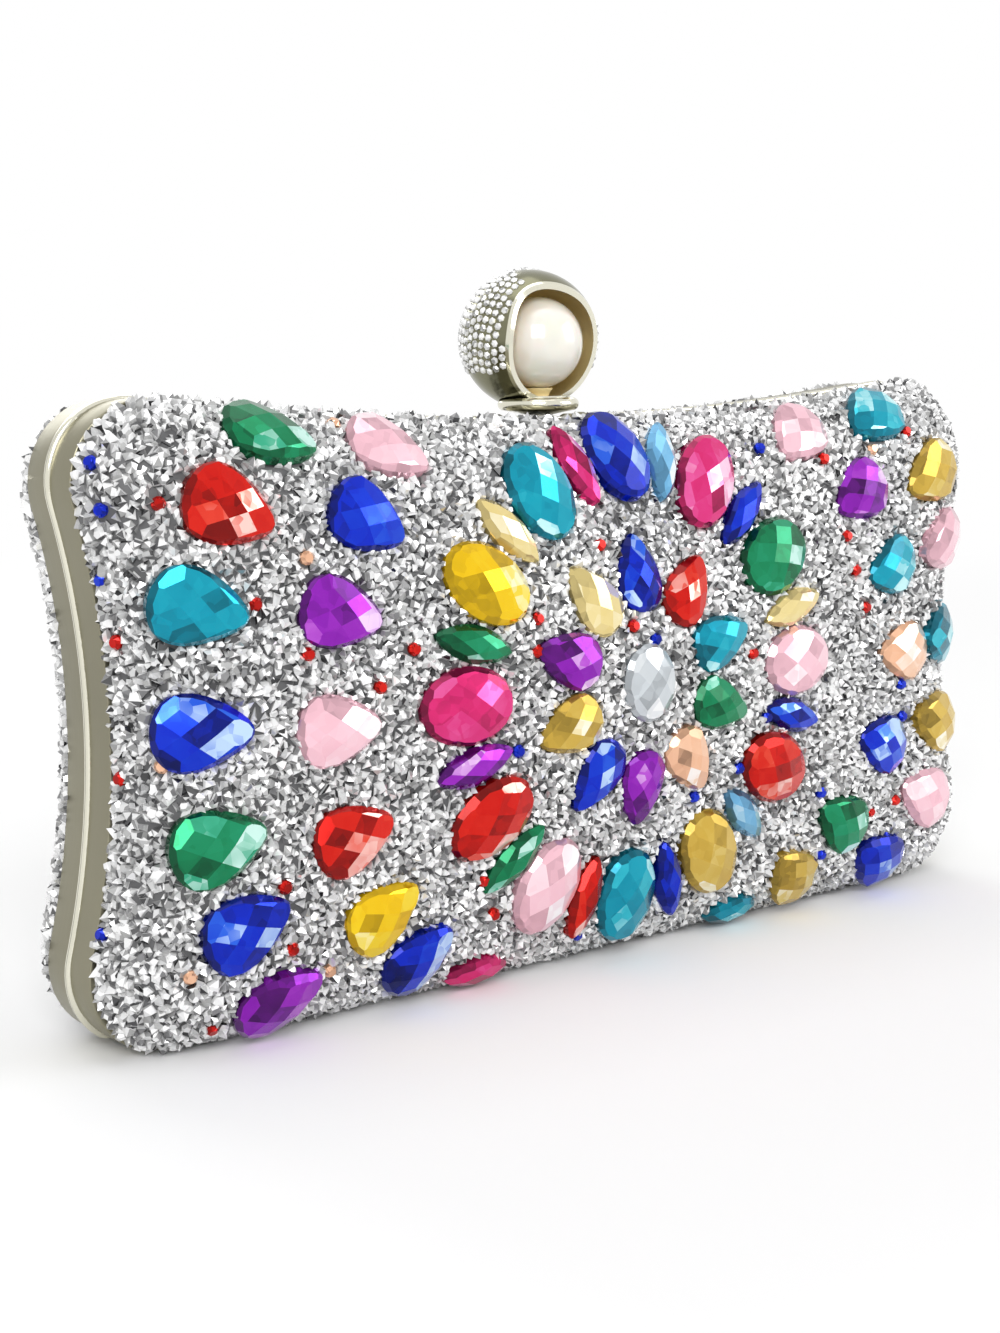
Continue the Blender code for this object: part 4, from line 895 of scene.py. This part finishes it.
def pattern():
    """Name, colour, kind, size, ring radius, angle, heading and replaced node of each stone."""
    stones = [("centre_gem", "clear", "oval", CENTRE_OVAL, 0.0, 90.0, 0.0, "centre_stone")]
    rings = (
        ("inner_gem", INNER_COLOURS, "pear", SMALL_PEAR, INNER_RING, 0.0, "inner_stone_{:02d}"),
        ("outer_gem", OVAL_COLOURS, "oval", BIG_OVAL, OUTER_RING, 0.0, "outer_stone_{:02d}"),
        ("slim_gem", NAVETTE_COLOURS, "navette", NAVETTE, OUTER_RING, 0.5, "front_crystals"),
    )
    for word, colours, kind, size, radius, shift, node in rings:
        for i, colour in enumerate(colours):
            angle = 90.0 - 360.0 * (i + shift) / len(colours)
            name = f"{word}_{i + 1:02d}"
            stones.append((name, colour, kind, size, radius, angle, 0.0, node.format(i + 1)))
    rows = (
        ("near", "pear", PEAR, NEAR_ANGLES, NEAR_SHARES, NEAR_COLOURS, 180.0),
        ("far", "pear", FAR_PEAR, FAR_ANGLES, FAR_SHARES, FAR_COLOURS, 180.0),
        ("base", "navette", BASE_NAVETTE, (BASE_ANGLE,), (BASE_SHARE,), BASE_COLOURS, None),
    )
    for word, kind, size, angles, shares, colours, heading in rows:
        for i, (angle, share) in enumerate(zip(angles, shares)):
            radius = FLOWER_REACH + (edge_distance(math.radians(angle)) - FLOWER_REACH) * share
            for side, end, place in ((1, "right", angle), (-1, "left", 180.0 - angle)):
                name = f"{word}_gem_{end}" + (f"_{i + 1}" if len(angles) > 1 else "")
                turned_by = -place if heading is None else heading
                stone = (name, colours[side][i], kind, size, radius, place, turned_by, "front_crystals")
                stones.append(stone)
    return stones


def cut_gem(kind, size):
    """A stone with its table facets on a checkerboard, standing on its flat back at the origin."""
    length, width, height = size
    cells, girdle_facets = GEM_CELLS[kind], GIRDLE_FACETS[kind]
    bm = bmesh.new()
    flat = stone_outline(kind, length, width, STONE_STEPS)
    loft(bm, [[Vector((u, v, w)) for u, v in flat] for w in (-STONE_GIRDLE, height * ROUGH_SHARE)])
    middle = -PEAR_MIDDLE_SHARE * length / 2 if kind == "pear" else 0.0
    a, b = length / 2, width / 2
    drop = CROWN_CURVE * (height - STONE_GIRDLE)
    planes = []
    reach = int(2 / cells) + 1
    for m in range(-reach, reach + 1):
        for n in range(-reach, reach + 1):
            s, t = (m + n) * cells / math.sqrt(2), (m - n) * cells / math.sqrt(2)
            if s * s + t * t < TABLE_REACH:
                u, v = s * a, t * b
                w = height - drop * ((u / a) ** 2 + (v / b) ** 2)
                slope = Vector((2 * drop * u / a**2, 2 * drop * v / b**2, 1.0))
                planes.append((Vector((u + middle, v, w)), slope.normalized()))
    for k in range(girdle_facets):
        index = int(math.tau * (k + 0.5) / girdle_facets / math.tau * STONE_STEPS)
        u, v = flat[index % STONE_STEPS]
        following = flat[(index + 1) % STONE_STEPS]
        edge = Vector((following[0] - u, following[1] - v, 0.0)).normalized()
        outward = Vector((edge.y, -edge.x, 0.0)) * GIRDLE_SLOPE[0] + Vector((0, 0, 1)) * GIRDLE_SLOPE[1]
        place = Vector(((u + following[0]) / 2, (v + following[1]) / 2, STONE_GIRDLE))
        planes.append((place, outward.normalized()))
    for place, normal in planes:
        geometry = bm.verts[:] + bm.edges[:] + bm.faces[:]
        result = bmesh.ops.bisect_plane(
            bm, geom=geometry, dist=CUT_DISTANCE, plane_co=place, plane_no=normal, clear_outer=True
        )
        edges = [item for item in result["geom_cut"] if isinstance(item, bmesh.types.BMEdge)]
        if edges:
            bmesh.ops.edgeloop_fill(bm, edges=edges)
    bmesh.ops.dissolve_degenerate(bm, dist=WELD_DISTANCE, edges=bm.edges)
    return bm


def shade_facets(bm, draw, seat, up, reach):
    """Gives each facet its own painted light: painted shade round the girdle, a painted highlight here and
    there, one side painted aglow.
    """
    layer = bm.faces.layers.float.new("shade")
    for face in bm.faces:
        bounds = GIRDLE_SHADES
        if face.normal.dot(up) >= GIRDLE_LEAN:
            bounds = draw.choices(FACET_SHADES, weights=FACET_WEIGHTS)[0]
        # Painted glow: one side of the stone is painted lighter.
        glow = (face.calc_center_median() - seat).dot(PAINTED_GLOW_SIDE) / reach * PAINTED_GLOW_AMOUNT
        face[layer] = min(1.0, max(0.0, draw.uniform(*bounds) + glow))


def sighted_place(name, sights):
    """The place of a pear outside the flower, from the pixel of its middle, or None."""
    word, _, *rest = name.split("_")
    if word not in STONE_PIXELS:
        return None
    pixel = STONE_PIXELS[word][1 if rest[0] == "right" else -1][int(rest[1]) - 1]
    return sights.ray_cast(CAMERA_PLACE, pixel_ray(pixel))[0]


def make_stones(surface, sights):
    """Every stone of the pattern. Returns their footprints as (middle, along, across, outline)."""
    draw = random.Random(STONE_SEED)
    footprints = []
    for name, colour, kind, size, radius, angle, heading, node in pattern():
        length, width, height = size
        flat = stone_outline(kind, length, width, SEAT_STEPS)
        angle, heading = math.radians(angle), math.radians(heading)
        place = sighted_place(name, sights)
        if place:
            radius = math.hypot(place.x, place.z - PATTERN_HEIGHT)
            angle = math.atan2(place.z - PATTERN_HEIGHT, place.x)
        pointing = Vector((math.cos(angle + heading), 0, math.sin(angle + heading)))
        lowest = -math.inf
        while lowest < STONE_FLOOR:
            x, z = radius * math.cos(angle), PATTERN_HEIGHT + radius * math.sin(angle)
            seat, normal = flat_seat(surface, Vector((x, -CASE_WIDTH, z)), pointing, flat)
            along = (pointing - normal * pointing.dot(normal)).normalized()
            across = normal.cross(along)
            lowest = min((seat + along * u + across * v).z for u, v in flat)
            radius -= STONE_STEP
        bm = cut_gem(kind, (length, width, height * CROWN_SHARE))
        turn = Matrix((along, across, normal)).transposed().to_4x4()
        bmesh.ops.transform(bm, matrix=Matrix.Translation(seat) @ turn, verts=bm.verts)
        bm.normal_update()
        shade_facets(bm, draw, seat, normal, length / 2)
        finish_piece(new_object(name, bm), "front_half", (colour,), node)
        footprints.append((seat, along, across, stone_outline(kind, length, width, STONE_STEPS)))
    return footprints


def inside_outline(point, points):
    """Whether a point of the plane lies inside a closed outline."""
    x, y = point
    inside = False
    for (x0, y0), (x1, y1) in zip(points, points[1:] + points[:1]):
        if (y0 > y) != (y1 > y) and x < x0 + (y - y0) * (x1 - x0) / (y1 - y0):
            inside = not inside
    return inside


def under_a_stone(place, footprints):
    for seat, along, across, points in footprints:
        offset = place - seat
        if offset.length > BIG_OVAL[0]:
            continue
        u, v = offset.dot(along) / STONE_MARGIN_SHARE, offset.dot(across) / STONE_MARGIN_SHARE
        if inside_outline((u, v), points):
            return True
    return False


def stud(bm, place, normal, radius, height, levels, sides, twist):
    """A small stone round a normal. Its levels hold a share of the radius, one of the height, and a turn.

    Returns the faces of its sides, and its two ends.
    """
    along = normal.orthogonal().normalized()
    across = normal.cross(along)
    verts = []
    for share, rise, turn in levels:
        ring = []
        for k in range(sides):
            a = math.tau * k / sides + twist + turn
            offset = (along * math.cos(a) + across * math.sin(a)) * radius * share
            ring.append(bm.verts.new(place + offset + normal * height * rise))
        verts.append(ring)
    faces = [face for first, second in zip(verts, verts[1:]) for face in bridge(bm, first, second)]
    return faces, [bm.faces.new(verts[0]), bm.faces.new(verts[-1])]


def make_accents(surface):
    """The small round stones, each where its pixel's ray meets the crystals. Returns their footprints."""
    draw = random.Random(ACCENT_SEED)
    footprints = []
    angles = [math.tau * i / ACCENT_SIDES for i in range(ACCENT_SIDES)]
    edge = [(ACCENT_RADIUS * math.cos(a), ACCENT_RADIUS * math.sin(a)) for a in angles]
    for colour, pixels in ACCENT_PIXELS.items():
        bm = bmesh.new()
        layer = bm.faces.layers.float.new("shade")
        for pixel in pixels:
            place, normal, _, _ = surface.ray_cast(CAMERA_PLACE, pixel_ray(pixel))
            if place is None:
                continue
            normal = normal if normal.y < 0 else -normal
            form = (ACCENT_RADIUS, ACCENT_HEIGHT, ACCENT_LEVELS, ACCENT_SIDES, 0.0)
            round_faces, ends = stud(bm, place, normal, *form)
            for face in round_faces + ends:
                face[layer] = draw.uniform(*ACCENT_SHADES)
            along = normal.orthogonal().normalized()
            footprints.append((place, along, normal.cross(along), edge))
        made = new_object("accent_gems_" + colour, bm)
        finish_piece(made, "front_half", (colour,), "front_crystals")
    return footprints


def scattered_places(triangles, spacing, footprints, draw):
    """Points spread over a surface with a least spacing and clear of the stones, with their normals."""
    areas = [(b - a).cross(c - a).length / 2 for a, b, c in triangles]
    picks = draw.choices(range(len(triangles)), weights=areas, k=CRYSTAL_TRIES)
    grid = {}
    kept = []
    for index in picks:
        a, b, c = triangles[index]
        r, s = draw.random(), draw.random()
        if r + s > 1:
            r, s = 1 - r, 1 - s
        place = a + (b - a) * r + (c - a) * s
        cell = tuple(int(math.floor(value / spacing)) for value in place)
        near = (
            other
            for dx in (-1, 0, 1) for dy in (-1, 0, 1) for dz in (-1, 0, 1)
            for other in grid.get((cell[0] + dx, cell[1] + dy, cell[2] + dz), ())
        )
        if any((place - other).length < spacing for other in near):
            continue
        grid.setdefault(cell, []).append(place)
        if not under_a_stone(place, footprints):
            kept.append((place, (b - a).cross(c - a).normalized()))
    return kept


def add_crystal(bm, layer, place, normal, spacing, draw):
    """One crushed crystal: an uneven pyramid, some with their point knocked off."""
    along = Matrix.Rotation(draw.uniform(0, math.tau), 3, normal) @ normal.orthogonal().normalized()
    across = normal.cross(along)
    sides = draw.choice(CRYSTAL_SIDES)
    radius = spacing * draw.uniform(*CRYSTAL_REACH)
    height = draw.uniform(*CRYSTAL_HEIGHT)
    raised = 0.0
    if abs(place.y - PARTING_Y) < SHEET_RIM + RIM_ROW:
        outward = min(1.0, abs(place.x) / (CASE_WIDTH / 2))
        height *= RIM_LIFT[0] + (RIM_LIFT[1] - RIM_LIFT[0]) * outward
        if place.y < PARTING_Y:
            raised = TOP_RAISE * max(0.0, normal.z)
    lean = Vector((draw.uniform(-1, 1), draw.uniform(-1, 1))) * math.tan(CRYSTAL_TILT)
    angles = [math.tau * (i + draw.uniform(-CORNER_SHIFT, CORNER_SHIFT)) / sides for i in range(sides)]
    corners = [(a, radius * draw.uniform(*CORNER_REACHES)) for a in angles]

    def at(angle, reach, rise):
        shift = lean * rise
        u, v = reach * math.cos(angle) + shift.x, reach * math.sin(angle) + shift.y
        return bm.verts.new(place + along * u + across * v + normal * rise)

    waist_share = draw.uniform(*WAIST_REACHES)
    waist_rise = height * draw.uniform(*WAIST_RISES)
    rises = [raised + waist_rise * draw.uniform(*WAIST_STEPS) for _ in corners]
    base = [at(a, r, -BED_THICK) for a, r in corners]
    waist = [at(a, r * waist_share, rise) for (a, r), rise in zip(corners, rises)]
    faces = bridge(bm, base, waist)
    if draw.random() < BLUNT_SHARE:
        share = draw.uniform(*BLUNT_REACHES)
        top = [at(a, r * share, raised + height * BLUNT_HEIGHT) for a, r in corners]
        faces += bridge(bm, waist, top) + [bm.faces.new(top)]
    else:
        tip = at(draw.uniform(0, math.tau), radius * draw.uniform(0, TIP_SHIFT), raised + height)
        faces += bridge(bm, waist, [tip])
    for face in faces + [bm.faces.new(base[::-1])]:
        face[layer] = draw.uniform(*draw.choices(CRYSTAL_SHADES, weights=CRYSTAL_WEIGHTS)[0])


def keep_clear(bm):
    """Presses points in that would reach below the ground or into the path of the clasp's foot."""
    for vert in bm.verts:
        vert.co.z = max(vert.co.z, GROUND_CLEARANCE)
        behind = vert.co.y - CLASP_AXIS.y
        if math.hypot(vert.co.x, behind) < FOOT_RADIUS + 2 * FIT_GAP and vert.co.z > CLASP_AXIS.z:
            limit = FOOT_BASE - FIT_GAP - max(0.0, behind) * math.tan(CLASP_ANGLE)
            vert.co.z = min(vert.co.z, limit)


def make_crystals(side, name, node, footprints):
    """One half's loose crystals, and the bed that they are set in."""
    draw = random.Random(CRYSTAL_SEED + side)
    bm = bmesh.new()
    layer = bm.faces.layers.float.new("shade")
    spacing = CRYSTAL_SPACING[side]
    for place, normal in scattered_places(skin_tree(side, CRYSTAL_BED)[1], spacing, footprints, draw):
        add_crystal(bm, layer, place, normal if normal.y * side > 0 else -normal, spacing, draw)
    keep_clear(bm)
    finish_piece(linked_object(name, bm), BODY[side], ("crystal",), node)
    bed = dome_sheet(side, name + "_bed", CRYSTAL_BED, BED_THICK, SHEET_RIM, SHEET_RIM)
    finish_piece(bed, BODY[side], ("bed",), node)


def tilt_window(bm):
    """Turns the ball so that its window faces a little down."""
    turn = Matrix.Rotation(WINDOW_TILT, 3, "X")
    bmesh.ops.rotate(bm, verts=bm.verts, cent=BALL_CENTRE, matrix=turn)


def ball_direction(theta, phi):
    """A direction from the ball's middle: theta from the window's axis, and phi round it."""
    return Vector((math.sin(theta) * math.cos(phi), -math.cos(theta), math.sin(theta) * math.sin(phi)))


def window_edge(phi, radius):
    """Where the window ends on a sphere of this radius. It reaches further at its upper left."""
    corner = max(0.0, math.cos(phi - CORNER_DIRECTION)) ** CORNER_POWER
    return math.acos(WINDOW_OFFSET / radius) + CORNER_REACH * corner


def rim_end(phi):
    """Where the plain rim gives way to crystals. It is broad over the top."""
    share = (math.cos(phi - PLAIN_DIRECTION) - math.cos(PLAIN_HALF_ANGLE)) / PLAIN_BLEND
    share = min(1.0, max(0.0, share))
    broad = RIM_WIDTH_ANGLE + (PLAIN_WIDTH_ANGLE - RIM_WIDTH_ANGLE) * share
    return window_edge(phi, BALL_RADIUS) + broad


def make_ball():
    """The hollow ball with its window and rim, gilt inside, and painted dark outside its rim: painted shade
    between the pavé's crystals and a painted dark reflection on its plain metal.
    """
    angles = [math.tau * k / ROUND_STEPS for k in range(ROUND_STEPS)]

    def rings(radius):
        made = [[BALL_CENTRE + ball_direction(math.pi, 0.0) * radius]]
        for i in range(1, BEND_STEPS + 1):
            share = i / BEND_STEPS
            made.append([
                BALL_CENTRE
                + ball_direction(math.pi - (math.pi - window_edge(phi, radius)) * share, phi) * radius
                for phi in angles
            ])
        return made

    bm = bmesh.new()
    loft(bm, rings(BALL_RADIUS) + rings(BALL_RADIUS - BALL_WALL)[::-1])
    tilt_window(bm)
    made = new_object("ball_shell", bm, PART_SMOOTH)
    finish_piece(made, "clasp", ("bright", "gilt", "painted_dark"), "knob_ball")
    untilt = Matrix.Rotation(-WINDOW_TILT, 3, "X")
    for face in made.data.polygons:
        outward = untilt @ (face.center - BALL_CENTRE).normalized()
        facing = face.normal.dot((face.center - BALL_CENTRE).normalized())
        theta, phi = math.acos(-outward.y), math.atan2(outward.z, outward.x)
        if facing < -FACING_LIMIT:
            face.material_index = 1
        # Outside the rim: painted shade between the pavé's crystals and a painted dark reflection.
        elif facing > FACING_LIMIT and theta > window_edge(phi, BALL_RADIUS) + RIM_WIDTH_ANGLE:
            face.material_index = 2


def make_pave():
    """Small crystals in rows round the ball, from its back to the window's rim, but not underneath."""
    draw = random.Random(PAVE_SEED)
    bm = bmesh.new()
    layer = bm.faces.layers.float.new("shade")
    tilt = Matrix.Rotation(WINDOW_TILT, 3, "X")
    pitch = PAVE_PITCH / BALL_RADIUS
    start = math.acos(WINDOW_OFFSET / BALL_RADIUS) + RIM_WIDTH_ANGLE
    reach = math.pi - start - pitch / 2
    rows = round(reach / pitch)
    for row in range(rows + 1):
        theta = math.pi - row * reach / rows
        count = max(1, int(math.tau * math.sin(theta) / pitch))
        for i in range(count):
            phi = math.tau * (i + 0.5 * (row % 2)) / count
            normal = tilt @ ball_direction(theta, phi)
            if theta < rim_end(phi) + PAVE_MARGIN * pitch or normal.z < PAVE_FLOOR_SHARE:
                continue
            form = (PAVE_RADIUS, PAVE_HEIGHT, PAVE_LEVELS, PAVE_SIDES, draw.uniform(0, math.tau))
            round_faces, ends = stud(bm, BALL_CENTRE + normal * BALL_RADIUS, normal, *form)
            for face in ends[::-1] + round_faces:
                face[layer] = draw.choice(PAVE_SHADES)
    finish_piece(new_object("ball_pave", bm), "clasp", ("crystal",), "knob_ball")


def make_foot():
    """The bright dish under the ball, with a round rim."""
    edge, half = FOOT_BASE + FOOT_BEVEL, FOOT_EDGE / 2
    ledge = edge + FOOT_EDGE * LEDGE_SHARE
    profile = [(FOOT_HUB_RADIUS, FOOT_BASE)]
    for i in range(RIM_STEPS + 1):
        a = -math.pi / 2 + math.pi * i / RIM_STEPS
        profile.append((FOOT_RADIUS - half + half * math.cos(a), edge + half + half * math.sin(a)))
    profile += [(CUP_RADIUS + half / 2, ledge), (CUP_RADIUS, ledge), (CUP_RADIUS, FOOT_BASE + CUP_RISE)]
    bm, hollow = bmesh.new(), bmesh.new()
    turned(bm, profile, 0.0, CLASP_AXIS.y)
    made = new_object("ball_foot", bm)
    add_sphere(hollow, BALL_RADIUS + FIT_GAP, BALL_CENTRE)
    cut(made, hollow)
    soften(made.data, PART_SMOOTH)
    finish_piece(made, "clasp", ("bright",), "knob_foot")


def make_seat():
    """The small gilt cup that the pearl is glued in."""
    low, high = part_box("pearl_seat")
    middle, radius, rise = (low + high) / 2, (high.x - low.x) / 2, high.z - low.z
    profile = [(radius * share, low.z + rise * height) for share, height in CUP_LEVELS]
    bm = bmesh.new()
    turned(bm, profile, middle.x, middle.y)
    made = new_object("pearl_cup", bm, ROUND_SMOOTH)
    finish_piece(made, "clasp", ("gilt",), "pearl_seat")


def make_pearl():
    bm = bmesh.new()
    add_sphere(bm, PEARL_RADIUS, PEARL_CENTRE)
    finish_piece(new_object("pearl_ball", bm, ROUND_SMOOTH), "clasp", ("pearl",), "knob_pearl")


def dress_nodes():
    """Materials for the CAD nodes that stay."""
    for key, names in NODE_LOOKS.items():
        for name in names:
            for slot in frame["nodes"][name].material_slots:
                slot.material = MATERIALS[key]


def area_light(name, place, target, size, power):
    light = bpy.data.lights.new(name, "AREA")
    light.shape = "RECTANGLE"
    light.size, light.size_y = size
    light.energy = power
    made = bpy.data.objects.new(name, light)
    made.location = place
    made.rotation_euler = (Vector(target) - Vector(place)).to_track_quat("-Z", "Y").to_euler()
    bpy.context.scene.collection.objects.link(made)


def make_floor():
    """A white floor that fades into the white background.

    It is open where the case reaches below it, and never in the way of a lamp.
    """
    bm = bmesh.new()
    bmesh.ops.create_circle(bm, cap_ends=True, segments=FLOOR_STEPS, radius=FLOOR_RADIUS)
    floor = linked_object("floor", bm)
    look = Look("floor", 0.9, 0.0)
    look.set("Base Color", FLOOR_COLOUR)
    look.set("Specular IOR Level", 0.1)
    path = look.node("ShaderNodeLightPath").outputs
    seen = look.combined("MAXIMUM", path["Is Camera Ray"], path["Is Glossy Ray"])
    reach = look.node("ShaderNodeVectorMath", look.coordinates(), operation="LENGTH").outputs["Value"]
    fade = look.scaled(reach, 0.0, 1.0, *FLOOR_FADE, interpolation_type="SMOOTHSTEP")
    glow = look.node("ShaderNodeEmission", Strength=1.0).outputs[0]
    share = look.combined("MULTIPLY", seen, fade)
    white = look.node("ShaderNodeMixShader", share, look.shader.outputs[0], glow).outputs[0]
    kind, settings = "ShaderNodeAmbientOcclusion", {"samples": PROBE_SAMPLES, "Distance": FLOOR_DEPTH}
    probes = [look.node(kind, inside=inside, **settings).outputs["AO"] for inside in (True, False)]
    below = look.mixed(*probes)
    look.link(look.node("ShaderNodeNewGeometry").outputs["Backfacing"], below, 0)
    free = look.scaled(below.outputs[0], 0.0, 1.0, *FLOOR_FREE)
    there = look.combined("SUBTRACT", free, path["Is Shadow Ray"], clamp=True)
    clear = look.node("ShaderNodeBsdfTransparent").outputs[0]
    opened = look.node("ShaderNodeMixShader", there, clear, white)
    look.link(opened.outputs[0], look.tree.nodes["Material Output"], "Surface")
    floor.data.materials.append(look.material)


def make_world():
    """White to the camera and in reflections, and plain soft light from above on everything."""
    world = bpy.data.worlds.new("studio")
    world.use_nodes = True
    bpy.context.scene.world = world
    nodes = Nodes(world.node_tree)
    background = nodes.tree.nodes["Background"]
    background.inputs["Color"].default_value = (1.0, 1.0, 1.0, 1.0)
    path = nodes.node("ShaderNodeLightPath").outputs
    seen = nodes.combined("MAXIMUM", path["Is Camera Ray"], path["Is Glossy Ray"])
    seen = nodes.combined("MAXIMUM", seen, path["Is Transmission Ray"])
    height = nodes.node("ShaderNodeSeparateXYZ", nodes.node("ShaderNodeTexCoord").outputs["Generated"])
    above = nodes.combined("GREATER_THAN", height.outputs["Z"], 0.0)
    soft = nodes.combined("MULTIPLY", above, AMBIENT)
    nodes.link(nodes.combined("MAXIMUM", seen, soft), background, "Strength")


def make_camera():
    data = bpy.data.cameras.new("camera")
    data.sensor_width = SENSOR
    data.sensor_height = SENSOR
    data.sensor_fit = "AUTO"
    data.lens = FOCAL_PIXELS * SENSOR / PHOTO_SIZE[1]
    data.clip_start = CLIP_START
    camera = bpy.data.objects.new("camera", data)
    bpy.context.scene.collection.objects.link(camera)
    right, up, forward = camera_axes()
    turn = Matrix((right, up, -forward)).transposed().to_4x4()
    camera.matrix_world = Matrix.Translation(CAMERA_PLACE) @ turn
    bpy.context.scene.camera = camera


make_camera()
footprints = make_stones(skin_tree(-1, STONE_DEPTH)[0], skin_tree(-1, 0.0)[0])
footprints += make_accents(skin_tree(-1, ACCENT_DEPTH)[0])
make_crystals(-1, "front_crushed_crystals", "front_crystals", footprints)
make_crystals(1, "back_crushed_crystals", "back_crystals", [])
make_band(-1, "front_frame", "front_band")
make_band(1, "back_frame", "back_band")
make_lining(-1, "front_satin", "front_lining")
make_lining(1, "back_satin", "back_lining")
make_ball()
make_pave()
make_foot()
make_seat()
make_pearl()
dress_nodes()

make_floor()
make_world()
for lamp in LAMPS:
    area_light(*lamp)
bpy.context.scene.view_settings.view_transform = "Standard"
